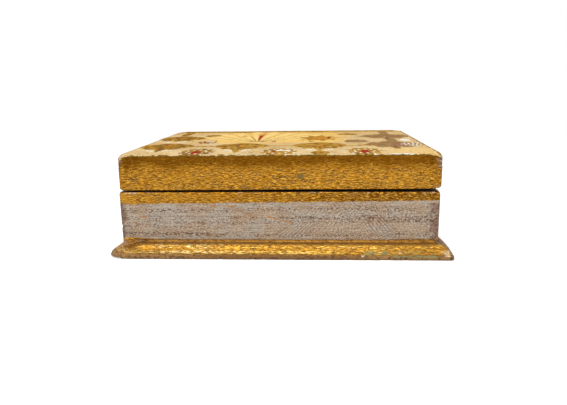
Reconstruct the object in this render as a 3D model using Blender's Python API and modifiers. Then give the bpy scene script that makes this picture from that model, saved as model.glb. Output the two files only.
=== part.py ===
"""Gilded and silvered wooden box with a moulded foot and a hinged, painted lid.

Metres, +Z up, front towards -Y. The origin is on the table, under the middle of the box.
"""
import math

import bmesh
import bpy
from mathutils import Matrix, Vector

BOX_NAME = "florentine_box"

# Case
CASE_WIDTH = 0.2
CASE_DEPTH = 0.16
CASE_HEIGHT = 0.0413
WALL_THICKNESS = 0.009
BOTTOM_THICKNESS = 0.005
LINING_THICKNESS = 0.0012

# Lid
LID_HEIGHT = 0.0226
LID_PANEL_THICKNESS = 0.008
LID_OPEN_DEGREES = 105.0

# Rounded edges: upright corners, the two rims that face each other, and the top of the lid
CORNER_RADIUS = 0.002
RIM_RADIUS = 0.0008
LID_TOP_RADIUS = 0.0012
CORNER_SEGMENTS = 5
RIM_SEGMENTS = 3

# Plinth moulding: a lip at the foot, a swelling ovolo above it, and a small cove up to the wall
PLINTH_HEIGHT = 0.0105
PLINTH_PROJECTION = 0.0092
PLINTH_TOP_EDGE = 0.0005
COVE_WIDTH = 0.0019
COVE_HEIGHT = 0.0023
LIP_HEIGHT = 0.0027
LIP_ROUNDING = 0.00075
HEEL_CHAMFER = 0.0004
LIP_STEPS = 3
OVOLO_STEPS = 9
COVE_STEPS = 5

# Butt hinges
HINGE_LENGTH = 0.025
HINGE_SPACING = 0.11
LEAF_THICKNESS = 0.0008
LEAF_LET_IN = 0.0004
LEAF_GAP = 0.0002
LEAF_BORDER = 0.0015
KNUCKLE_RADIUS = 0.0017
KNUCKLE_GAP = 0.0003
KNUCKLE_COUNT = 3
PIN_RADIUS = 0.00075
PIN_OVERRUN = 0.0003
PIN_CHAMFER = 0.0002
HINGE_SIDES = 32

# Wood screws
SCREW_SPACING = 0.016
SCREW_LENGTH = 0.0065
SCREW_HEAD_RADIUS = 0.0013
SCREW_HEAD_HEIGHT = 0.0006
SCREW_SHANK_RADIUS = 0.0007
SCREW_TIP_LENGTH = 0.0012
SCREW_SINK = 0.00005
SCREW_SIDES = 16

# Nails through the bottom board
NAIL_LENGTH = 0.015
NAIL_HEAD_RADIUS = 0.0014
NAIL_HEAD_HEIGHT = 0.0005
NAIL_SHANK_RADIUS = 0.0006
NAIL_POINT_LENGTH = 0.0014
NAIL_SINK = 0.0003
NAIL_CORNER_DISTANCE = 0.035
NAIL_SIDES = 12

# Clearances
GLUE_GAP = 0.0003
LINING_GAP = 0.0003
MORTISE_GAP = 0.0003
PIN_CLEARANCE = 0.00005
SCREW_CLEARANCE = 0.0001
NAIL_CLEARANCE = 0.0001
STOP_CLEARANCE = 0.0001
CUT_MARGIN = 0.002

# The leaves stand proud of their mortises and hold the lid this far off the case
JOINT_GAP = 2 * (LEAF_THICKNESS - LEAF_LET_IN) + LEAF_GAP
LID_BASE = CASE_HEIGHT + JOINT_GAP
BOX_HEIGHT = LID_BASE + LID_HEIGHT
PANEL_BASE = BOX_HEIGHT - LID_PANEL_THICKNESS
WALL_BASE = BOTTOM_THICKNESS + GLUE_GAP

# The pins sit far enough in for the rounded back rims to meet when the lid is fully open
HALF_OPEN = math.radians(LID_OPEN_DEGREES) / 2
RIM_REACH = RIM_RADIUS * (math.sin(HALF_OPEN) + math.cos(HALF_OPEN) - 1)
GAP_REACH = JOINT_GAP / 2 * math.cos(HALF_OPEN)
HINGE_INSET = (RIM_REACH + GAP_REACH - STOP_CLEARANCE / 2) / math.sin(HALF_OPEN)
AXIS_Y = CASE_DEPTH / 2 - HINGE_INSET
AXIS_Z = CASE_HEIGHT + JOINT_GAP / 2
LEAF_WIDTH = WALL_THICKNESS - HINGE_INSET - LEAF_BORDER
KNUCKLE_PITCH = HINGE_LENGTH / KNUCKLE_COUNT
SCREW_Y = AXIS_Y - (KNUCKLE_RADIUS + LEAF_WIDTH) / 2

# Side name: length along the side, size across it, turn about Z from the front
SIDES = {
    "front": (CASE_WIDTH, CASE_DEPTH, 0.0),
    "right": (CASE_DEPTH, CASE_WIDTH, math.pi / 2),
    "back": (CASE_WIDTH, CASE_DEPTH, math.pi),
    "left": (CASE_DEPTH, CASE_WIDTH, -math.pi / 2),
}
HINGE_PLACES = {"left": -HINGE_SPACING / 2, "right": HINGE_SPACING / 2}

# Finish name: linear colour, roughness, metallic
FINISHES = {
    "gilding": ((0.41, 0.18, 0.02), 0.45, 0.6),
    "bright_gilding": ((0.6, 0.33, 0.06), 0.35, 0.7),
    "silvering": ((0.4, 0.29, 0.2), 0.5, 0.3),
    "painted_gesso": ((0.82, 0.6, 0.31), 0.6, 0.0),
    "bare_wood": ((0.42, 0.26, 0.14), 0.75, 0.0),
    "felt": ((0.28, 0.03, 0.03), 0.95, 0.0),
    "brass": ((0.6, 0.4, 0.14), 0.35, 1.0),
    "iron": ((0.14, 0.12, 0.1), 0.6, 0.9),
}
SHARP_ANGLE = math.radians(40.0)


def clear_scene():
    """Remove the objects and collections of the open file."""
    for item in list(bpy.data.objects):
        bpy.data.objects.remove(item, do_unlink=True)
    for group in list(bpy.data.collections):
        bpy.data.collections.remove(group)


def new_collection(name):
    """Make a collection in the scene."""
    group = bpy.data.collections.new(name)
    bpy.context.scene.collection.children.link(group)
    return group


def finish_material(piece_name, finish):
    """Make the material of one piece from its finish."""
    colour, roughness, metallic = FINISHES[finish]
    material = bpy.data.materials.new(piece_name + "_" + finish)
    material.use_nodes = True
    shader = material.node_tree.nodes["Principled BSDF"]
    shader.inputs["Base Color"].default_value = (*colour, 1.0)
    shader.inputs["Roughness"].default_value = roughness
    shader.inputs["Metallic"].default_value = metallic
    material.diffuse_color = (*colour, 1.0)
    return material


def mesh_from(bm, name):
    """Turn a bmesh into mesh data, with round stretches smooth and edges sharp."""
    mesh = bpy.data.meshes.new(name)
    bm.to_mesh(mesh)
    bm.free()
    mesh.shade_smooth()
    mesh.set_sharp_from_angle(angle=SHARP_ANGLE)
    return mesh


class Workshop:
    """Holds the collections and the lid's axis, and adds pieces and cutters to them."""

    def __init__(self):
        self.parts = new_collection(BOX_NAME)
        self.cutters = new_collection(BOX_NAME + "_cutters")
        self.lid_axis = bpy.data.objects.new("lid_axis", None)
        self.lid_axis.location = (0.0, AXIS_Y, AXIS_Z)
        self.parts.objects.link(self.lid_axis)

    def piece(self, name, mesh, finish, position, on_lid=False):
        """Add a named piece, carried by the lid's axis if it moves with the lid."""
        item = bpy.data.objects.new(name, mesh)
        mesh.materials.append(finish_material(name, finish))
        self.parts.objects.link(item)
        item.location = position
        if on_lid:
            item.parent = self.lid_axis
            item.location = Vector(position) - self.lid_axis.location
        return item

    def cutter(self, name, mesh, position):
        """Add a shape that only cuts or joins."""
        item = bpy.data.objects.new(name, mesh)
        self.cutters.objects.link(item)
        item.location = position
        item.hide_render = True
        item.display_type = "WIRE"
        return item


def combine(piece, other, operation):
    """Cut, join or trim a piece with another shape."""
    step = piece.modifiers.new(operation.lower() + "_" + other.name, "BOOLEAN")
    step.operation = operation
    step.solver = "EXACT"
    step.object = other


def block(size, name):
    """Plain block, centred."""
    bm = bmesh.new()
    bmesh.ops.create_cube(bm, size=1.0, matrix=Matrix.Diagonal((*size, 1.0)))
    return mesh_from(bm, name)


def rounded_block(size, rim_radius, rim_side, name):
    """Block with rounded upright corners and one rounded rim, the top (1) or the bottom (-1)."""
    bm = bmesh.new()
    bmesh.ops.create_cube(bm, size=1.0, matrix=Matrix.Diagonal((*size, 1.0)))
    half = size[2] / 2
    upright = [e for e in bm.edges if e.verts[0].co.z * e.verts[1].co.z < 0]
    bmesh.ops.bevel(bm, geom=upright, offset=CORNER_RADIUS, offset_type="OFFSET", affect="EDGES",
                    segments=CORNER_SEGMENTS, profile=0.5, material=-1)
    rim = [e for e in bm.edges if all(v.co.z * rim_side > half / 2 for v in e.verts)]
    bmesh.ops.bevel(bm, geom=rim, offset=rim_radius, offset_type="OFFSET", affect="EDGES",
                    segments=RIM_SEGMENTS, profile=0.5, material=-1)
    return mesh_from(bm, name)


def rod(radius, length, name):
    """Round bar along X, centred."""
    bm = bmesh.new()
    bmesh.ops.create_cone(bm, cap_ends=True, segments=HINGE_SIDES, radius1=radius, radius2=radius,
                          depth=length, matrix=Matrix.Rotation(math.pi / 2, 4, "Y"))
    return mesh_from(bm, name)


def turn(item, sides):
    """Spin the profile held by an object about its own Z axis."""
    lathe = item.modifiers.new("turned", "SCREW")
    lathe.axis = "Z"
    lathe.steps = sides
    lathe.render_steps = sides
    lathe.use_merge_vertices = True
    lathe.merge_threshold = 0.00001
    lathe.use_smooth_shade = True


def profile_mesh(points, name):
    """Open line in the XZ plane, for turning: each point is a radius and a height, top first."""
    bm = bmesh.new()
    line = [bm.verts.new((radius, 0.0, height)) for radius, height in points]
    for upper, lower in zip(line, line[1:]):
        bm.edges.new((upper, lower))
    mesh = bpy.data.meshes.new(name)
    bm.to_mesh(mesh)
    bm.free()
    return mesh


def arc(centre, radii, start, end, steps):
    """Points along part of an ellipse, from one angle in degrees to another."""
    points = []
    for step in range(steps + 1):
        angle = math.radians(start + (end - start) * step / steps)
        points.append((centre[0] + radii[0] * math.cos(angle), centre[1] + radii[1] * math.sin(angle)))
    return points


def plinth_outline():
    """Section of the moulding: distance out from the wall face, and height above the table."""
    foot = PLINTH_PROJECTION - LIP_ROUNDING
    crease = PLINTH_TOP_EDGE + COVE_WIDTH
    shoulder = PLINTH_HEIGHT - COVE_HEIGHT
    points = [(GLUE_GAP, 0.0), (PLINTH_PROJECTION - HEEL_CHAMFER, 0.0), (PLINTH_PROJECTION, HEEL_CHAMFER)]
    points += arc((foot, LIP_HEIGHT - LIP_ROUNDING), (LIP_ROUNDING, LIP_ROUNDING), 0, 90, LIP_STEPS)
    points += arc((crease, LIP_HEIGHT), (foot - crease, shoulder - LIP_HEIGHT), 0, 90, OVOLO_STEPS)[1:]
    points += arc((crease, PLINTH_HEIGHT), (COVE_WIDTH, COVE_HEIGHT), 270, 180, COVE_STEPS)[1:]
    points.append((GLUE_GAP, PLINTH_HEIGHT))
    return points


def extruded_outline(points, length, name):
    """Solid bar of a given section: the outline lies in local XY and runs along local Z."""
    outline = bpy.data.curves.new(name, "CURVE")
    outline.dimensions = "2D"
    outline.fill_mode = "BOTH"
    outline.extrude = length / 2
    spline = outline.splines.new("POLY")
    spline.points.add(len(points) - 1)
    for target, (x, y) in zip(spline.points, points):
        target.co = (x, y, 0.0, 1.0)
    spline.use_cyclic_u = True
    holder = bpy.data.objects.new(name, outline)
    bpy.context.scene.collection.objects.link(holder)
    evaluated = holder.evaluated_get(bpy.context.evaluated_depsgraph_get())
    solid = bpy.data.meshes.new_from_object(evaluated)
    bpy.data.objects.remove(holder, do_unlink=True)
    bm = bmesh.new()
    bm.from_mesh(solid)
    bmesh.ops.remove_doubles(bm, verts=bm.verts, dist=0.000001)
    bmesh.ops.recalc_face_normals(bm, faces=bm.faces)
    return mesh_from(bm, name)


def mitre_wedges(shop):
    """Trimming wedge of each side, whose ends stop half a glue gap from the corner diagonals."""
    outward = PLINTH_PROJECTION + CUT_MARGIN
    inward = -(WALL_THICKNESS + CUT_MARGIN)
    backing_off = GLUE_GAP / math.sqrt(2)
    wedges = {}
    for side, (run, across, angle) in SIDES.items():
        bm = bmesh.new()
        bmesh.ops.create_cube(bm, size=1.0)
        for corner in bm.verts:
            reach = outward if corner.co.y < 0 else inward
            corner.co.x = math.copysign(run / 2 + reach - backing_off, corner.co.x)
            corner.co.y = -(across / 2 + reach)
            corner.co.z *= BOX_HEIGHT + 2 * CUT_MARGIN
        name = "mitre_wedge_" + side
        wedges[side] = shop.cutter(name, mesh_from(bm, name), (0.0, 0.0, BOX_HEIGHT / 2))
        wedges[side].rotation_euler.z = angle
    return wedges


def build_frame(shop, names, finish, base, top, rim_side, wedges, on_lid):
    """Four mitred boards that make a ring, either the case walls or the lid rails."""
    height = top - base
    middle = (0.0, 0.0, (base + top) / 2)
    hollow_size = (CASE_WIDTH - 2 * WALL_THICKNESS, CASE_DEPTH - 2 * WALL_THICKNESS, height + 2 * CUT_MARGIN)
    hollow_name = names.format("hollow")
    hollow = shop.cutter(hollow_name, block(hollow_size, hollow_name), middle)
    boards = {}
    for side, wedge in wedges.items():
        name = names.format(side)
        mesh = rounded_block((CASE_WIDTH, CASE_DEPTH, height), RIM_RADIUS, rim_side, name)
        board = shop.piece(name, mesh, finish, middle, on_lid)
        combine(board, hollow, "DIFFERENCE")
        combine(board, wedge, "INTERSECT")
        boards[side] = board
    return boards


def build_plinth(shop, wedges):
    """Mitred moulding round the foot of the case."""
    stand_up = Matrix(((0, 0, -1), (-1, 0, 0), (0, 1, 0))).to_4x4()
    for side, (run, across, angle) in SIDES.items():
        name = "plinth_" + side
        length = run + 2 * (PLINTH_PROJECTION + CUT_MARGIN)
        mesh = extruded_outline(plinth_outline(), length, name)
        mesh.transform(stand_up)
        turn_to_side = Matrix.Rotation(angle, 4, "Z")
        strip = shop.piece(name, mesh, "bright_gilding", turn_to_side @ Vector((0.0, -across / 2, 0.0)))
        strip.rotation_euler.z = angle
        combine(strip, wedges[side], "INTERSECT")


def build_floor(shop, walls):
    """Bottom board, the nails that hold it to the walls, and the lining that lies on it."""
    name = "bottom_board"
    mesh = block((CASE_WIDTH, CASE_DEPTH, BOTTOM_THICKNESS), name)
    board = shop.piece(name, mesh, "bare_wood", (0.0, 0.0, BOTTOM_THICKNESS / 2))

    nail_outline = [
        (0.0, NAIL_LENGTH),
        (NAIL_SHANK_RADIUS, NAIL_LENGTH - NAIL_POINT_LENGTH),
        (NAIL_SHANK_RADIUS, NAIL_HEAD_HEIGHT),
        (NAIL_HEAD_RADIUS, NAIL_HEAD_HEIGHT),
        (NAIL_HEAD_RADIUS, 0.0),
        (0.0, 0.0),
    ]
    bore_outline = [
        (0.0, NAIL_LENGTH + NAIL_CLEARANCE),
        (NAIL_SHANK_RADIUS + NAIL_CLEARANCE, NAIL_LENGTH + NAIL_CLEARANCE),
        (NAIL_SHANK_RADIUS + NAIL_CLEARANCE, NAIL_HEAD_HEIGHT + NAIL_CLEARANCE),
        (NAIL_HEAD_RADIUS + NAIL_CLEARANCE, NAIL_HEAD_HEIGHT + NAIL_CLEARANCE),
        (NAIL_HEAD_RADIUS + NAIL_CLEARANCE, -NAIL_SINK - CUT_MARGIN),
        (0.0, -NAIL_SINK - CUT_MARGIN),
    ]
    number = 0
    for side, (run, across, angle) in SIDES.items():
        for end in (-1, 1):
            number += 1
            along = end * (run / 2 - NAIL_CORNER_DISTANCE)
            inside = -(across - WALL_THICKNESS) / 2
            place = Matrix.Rotation(angle, 4, "Z") @ Vector((along, inside, NAIL_SINK))
            name = "bottom_nail_{}".format(number)
            nail = shop.piece(name, profile_mesh(nail_outline, name), "iron", place)
            turn(nail, NAIL_SIDES)
            bore_name = name + "_bore"
            bore = shop.cutter(bore_name, profile_mesh(bore_outline, bore_name), place)
            turn(bore, NAIL_SIDES)
            combine(board, bore, "DIFFERENCE")
            combine(walls[side], bore, "DIFFERENCE")

    name = "floor_lining"
    inset = 2 * (WALL_THICKNESS + LINING_GAP)
    mesh = block((CASE_WIDTH - inset, CASE_DEPTH - inset, LINING_THICKNESS), name)
    lining_middle = BOTTOM_THICKNESS + LINING_GAP + LINING_THICKNESS / 2
    shop.piece(name, mesh, "felt", (0.0, 0.0, lining_middle))


def build_lid_panel(shop):
    """Painted board on top of the lid rails."""
    name = "lid_panel"
    size = (CASE_WIDTH, CASE_DEPTH, LID_PANEL_THICKNESS)
    mesh = rounded_block(size, LID_TOP_RADIUS, 1, name)
    middle = (0.0, 0.0, PANEL_BASE + LID_PANEL_THICKNESS / 2)
    shop.piece(name, mesh, "painted_gesso", middle, on_lid=True)


def screw_bores(shop, hinge_name, hinge_x):
    """Countersunk holes for the screws of both leaves, one above the other."""
    head = LEAF_GAP / 2 + SCREW_SINK
    neck = head + SCREW_HEAD_HEIGHT
    end = head + SCREW_LENGTH + SCREW_CLEARANCE
    wide = SCREW_HEAD_RADIUS + SCREW_CLEARANCE
    narrow = SCREW_SHANK_RADIUS + SCREW_CLEARANCE
    below = [(wide, -head), (narrow, -neck), (narrow, -end), (0.0, -end)]
    above = [(radius, -height) for radius, height in reversed(below)]
    bores = []
    for number, shift in enumerate((-SCREW_SPACING / 2, SCREW_SPACING / 2), start=1):
        name = "{}_screw_bore_{}".format(hinge_name, number)
        bore = shop.cutter(name, profile_mesh(above + below, name), (hinge_x + shift, SCREW_Y, AXIS_Z))
        turn(bore, SCREW_SIDES)
        bores.append(bore)
    return bores


def build_screws(shop, leaf_name, hinge_x, upward):
    """Two screws of one leaf, with their heads just under the leaf's face."""
    outline = [
        (0.0, 0.0),
        (SCREW_HEAD_RADIUS, 0.0),
        (SCREW_SHANK_RADIUS, -SCREW_HEAD_HEIGHT),
        (SCREW_SHANK_RADIUS, SCREW_TIP_LENGTH - SCREW_LENGTH),
        (0.0, -SCREW_LENGTH),
    ]
    drop = LEAF_GAP / 2 + SCREW_SINK
    for number, shift in enumerate((-SCREW_SPACING / 2, SCREW_SPACING / 2), start=1):
        name = "{}_screw_{}".format(leaf_name, number)
        height = AXIS_Z + drop if upward else AXIS_Z - drop
        mesh = profile_mesh(outline, name)
        screw = shop.piece(name, mesh, "brass", (hinge_x + shift, SCREW_Y, height), on_lid=upward)
        if upward:
            screw.rotation_euler.x = math.pi
        turn(screw, SCREW_SIDES)


def build_hinge(shop, place, hinge_x, case_back, lid_back):
    """One butt hinge: two leaves with alternating knuckles, a pin and four screws."""
    hinge_name = "hinge_" + place
    on_axis = (hinge_x, AXIS_Y, AXIS_Z)

    seat_half = LEAF_GAP / 2 + LEAF_THICKNESS + MORTISE_GAP
    pocket_size = (HINGE_LENGTH + 2 * MORTISE_GAP, LEAF_WIDTH + MORTISE_GAP, 2 * seat_half)
    pocket_name = hinge_name + "_pocket"
    pocket_y = AXIS_Y - (LEAF_WIDTH + MORTISE_GAP) / 2
    pocket = shop.cutter(pocket_name, block(pocket_size, pocket_name), (hinge_x, pocket_y, AXIS_Z))
    groove_name = hinge_name + "_groove"
    groove_length = HINGE_LENGTH + 2 * (PIN_OVERRUN + MORTISE_GAP)
    groove_mesh = rod(KNUCKLE_RADIUS + MORTISE_GAP, groove_length, groove_name)
    groove = shop.cutter(groove_name, groove_mesh, on_axis)
    pin_bore_name = hinge_name + "_pin_bore"
    pin_bore_mesh = rod(PIN_RADIUS + PIN_CLEARANCE, HINGE_LENGTH + 2 * CUT_MARGIN, pin_bore_name)
    pin_bore = shop.cutter(pin_bore_name, pin_bore_mesh, on_axis)
    bores = screw_bores(shop, hinge_name, hinge_x)
    for wood in (case_back, lid_back):
        for tool in [pocket, groove] + bores:
            combine(wood, tool, "DIFFERENCE")

    leaves = {}
    for owner, upward in (("case", False), ("lid", True)):
        leaf_name = "{}_{}_leaf".format(hinge_name, owner)
        offset = LEAF_GAP / 2 + LEAF_THICKNESS / 2
        plate_z = AXIS_Z + offset if upward else AXIS_Z - offset
        plate_mesh = block((HINGE_LENGTH, LEAF_WIDTH, LEAF_THICKNESS), leaf_name)
        position = (hinge_x, AXIS_Y - LEAF_WIDTH / 2, plate_z)
        leaves[owner] = shop.piece(leaf_name, plate_mesh, "brass", position, on_lid=upward)
        build_screws(shop, "{}_{}".format(hinge_name, owner), hinge_x, upward)

    knuckles = []
    for slot in range(KNUCKLE_COUNT):
        own, other = ("case", "lid") if slot % 2 == 0 else ("lid", "case")
        slot_place = (hinge_x + (slot - (KNUCKLE_COUNT - 1) / 2) * KNUCKLE_PITCH, AXIS_Y, AXIS_Z)
        notch_name = "{}_notch_{}".format(hinge_name, slot + 1)
        notch_mesh = rod(KNUCKLE_RADIUS + KNUCKLE_GAP, KNUCKLE_PITCH + KNUCKLE_GAP / 2, notch_name)
        combine(leaves[other], shop.cutter(notch_name, notch_mesh, slot_place), "DIFFERENCE")
        knuckle_name = "{}_knuckle_{}".format(hinge_name, slot + 1)
        knuckle_mesh = rod(KNUCKLE_RADIUS, KNUCKLE_PITCH - KNUCKLE_GAP, knuckle_name)
        knuckles.append((own, shop.cutter(knuckle_name, knuckle_mesh, slot_place)))
    for owner, knuckle in knuckles:
        combine(leaves[owner], knuckle, "UNION")
    for leaf in leaves.values():
        for tool in [pin_bore] + bores:
            combine(leaf, tool, "DIFFERENCE")

    half_pin = HINGE_LENGTH / 2 + PIN_OVERRUN
    pin_outline = [
        (0.0, half_pin),
        (PIN_RADIUS - PIN_CHAMFER, half_pin),
        (PIN_RADIUS, half_pin - PIN_CHAMFER),
        (PIN_RADIUS, PIN_CHAMFER - half_pin),
        (PIN_RADIUS - PIN_CHAMFER, -half_pin),
        (0.0, -half_pin),
    ]
    pin_name = hinge_name + "_pin"
    pin = shop.piece(pin_name, profile_mesh(pin_outline, pin_name), "brass", on_axis)
    pin.rotation_euler.y = math.pi / 2
    turn(pin, HINGE_SIDES)


def main():
    """Build the case, the lid and the hinges that join them."""
    clear_scene()
    shop = Workshop()
    wedges = mitre_wedges(shop)
    walls = build_frame(shop, "case_{}_board", "silvering", WALL_BASE, CASE_HEIGHT, 1, wedges, False)
    rails = build_frame(shop, "lid_{}_rail", "gilding", LID_BASE, PANEL_BASE - GLUE_GAP, -1, wedges, True)
    build_plinth(shop, wedges)
    build_floor(shop, walls)
    build_lid_panel(shop)
    for place, hinge_x in HINGE_PLACES.items():
        build_hinge(shop, place, hinge_x, walls["back"], rails["back"])


main()
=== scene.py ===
"""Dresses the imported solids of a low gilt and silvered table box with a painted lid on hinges."""

import logging
import math
from dataclasses import dataclass, field
from enum import Enum
from functools import cached_property
from typing import Callable, Optional, Union

import bmesh
import bpy
import numpy as np
from mathutils import Matrix, Vector

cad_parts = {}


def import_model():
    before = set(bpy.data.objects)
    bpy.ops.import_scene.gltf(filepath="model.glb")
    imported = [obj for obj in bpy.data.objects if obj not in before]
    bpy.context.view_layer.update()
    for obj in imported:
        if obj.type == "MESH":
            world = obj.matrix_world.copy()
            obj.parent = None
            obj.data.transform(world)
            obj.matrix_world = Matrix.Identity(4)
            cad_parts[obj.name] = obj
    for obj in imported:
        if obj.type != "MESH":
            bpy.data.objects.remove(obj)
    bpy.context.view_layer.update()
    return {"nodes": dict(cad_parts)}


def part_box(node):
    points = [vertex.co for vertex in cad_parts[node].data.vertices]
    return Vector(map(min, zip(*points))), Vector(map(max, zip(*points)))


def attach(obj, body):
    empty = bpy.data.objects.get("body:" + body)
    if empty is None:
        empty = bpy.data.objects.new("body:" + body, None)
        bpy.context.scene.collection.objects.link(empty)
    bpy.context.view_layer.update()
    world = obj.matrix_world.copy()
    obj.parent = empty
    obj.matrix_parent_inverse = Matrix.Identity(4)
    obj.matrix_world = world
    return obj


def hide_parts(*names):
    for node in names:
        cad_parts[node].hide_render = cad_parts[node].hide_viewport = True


log = logging.getLogger("gilt_box")

MM = 0.001
FAR = 6.0
SIDE_GAP = 97.0
SHARP_ANGLE = 0.8
WEAR_REACH = 2.6
OUT_OF_REACH = 99.0
AXIS_PRIMES = (73856093, 19349663, 83492791)
SEED_PRIME = 2654435761
STIR_PRIMES = ((15, 2246822519), (13, 3266489917))
LOW_BITS = 0xFFFFFFFF

Array = np.ndarray
BMesh = bmesh.types.BMesh
BMEdge = bmesh.types.BMEdge
BMFace = bmesh.types.BMFace
BMVert = bmesh.types.BMVert
Material = bpy.types.Material
Mesh = bpy.types.Mesh
Piece = bpy.types.Object
Socket = bpy.types.NodeSocket
RGB = tuple[float, float, float]
Place = tuple[float, float, float]
Spot = tuple[float, float]
Value = Union[float, Socket]
Colour = Union[RGB, Socket]


class Side(Enum):
    """The four sides of a mitred frame: a word, and the turn in degrees from the front."""

    FRONT = ("front", 0.0)
    RIGHT = ("right", 90.0)
    BACK = ("back", 180.0)
    LEFT = ("left", -90.0)

    @property
    def word(self) -> str:
        """Word used in the names of pieces."""
        return self.value[0]

    @property
    def turn(self) -> float:
        """Turn about the upright axis, in radians."""
        return math.radians(self.value[1])

    @property
    def order(self) -> int:
        """Place of the side in the round."""
        return list(Side).index(self)


class Corner(Enum):
    """The four upright corners, in the order that the sides meet them."""

    FRONT_LEFT = 0
    FRONT_RIGHT = 1
    BACK_RIGHT = 2
    BACK_LEFT = 3


class Mark(Enum):
    """Kinds of touched, chipped or stained places."""

    GESSO = "mark_gesso"
    DARK = "mark_dark"
    ORANGE = "mark_orange"
    GREEN = "mark_green"
    SCRATCH = "mark_scratch"
    RIDGE = "mark_ridge"


class Pigment(Enum):
    """Colours of the ornament on the lid."""

    GOLD = "paint_gold"
    UMBER = "paint_umber"
    RED = "paint_red"
    ORANGE = "paint_orange"
    YELLOW = "paint_yellow"
    ROSE = "paint_rose"
    WHITE = "paint_white"
    INK = "paint_ink"


def smooth_ramp(value: Array, low: float, high: float) -> Array:
    """Rises smoothly from 0, where the value is low, to 1, where it is high."""
    share = np.clip((value - low) / (high - low), 0.0, 1.0)
    return share * share * (3.0 - 2.0 * share)


@dataclass(frozen=True)
class Field:
    """Smooth random field in space, the same on every run."""

    seed: int
    size: float

    def _lattice(self, cells: Array) -> Array:
        """Random values from -1 to 1 at whole-number places.

        Args:
            cells: whole-number places, n by 3.

        Returns:
            One value for each place.
        """
        whole = cells.astype(np.int64)
        mixed = np.bitwise_xor.reduce(whole * np.array(AXIS_PRIMES), axis=1)
        mixed = (mixed ^ self.seed * SEED_PRIME) & LOW_BITS
        for shift, prime in STIR_PRIMES:
            mixed = (mixed ^ (mixed >> shift)) * prime & LOW_BITS
        return ((mixed ^ (mixed >> 16)) & 0xFFFF) / 32767.5 - 1.0

    def at(self, points: Array) -> Array:
        """Values of the field.

        Args:
            points: places in mm, n by 3.

        Returns:
            One value from -1 to 1 for each point.
        """
        scaled = points / self.size
        base = np.floor(scaled)
        part = scaled - base
        part = part * part * (3.0 - 2.0 * part)
        total = np.zeros(len(points))
        for corner in range(8):
            offset = np.array([corner & 1, corner >> 1 & 1, corner >> 2 & 1])
            weight = np.prod(np.where(offset == 1, part, 1.0 - part), axis=1)
            total += weight * self._lattice(base + offset)
        return total


@dataclass
class Coat:
    """One layer of a finish: its look, and how far it stands up in mm."""

    colour: Colour
    metallic: Value = 0.0
    roughness: Value = 0.6
    height: Value = 0.0


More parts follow.
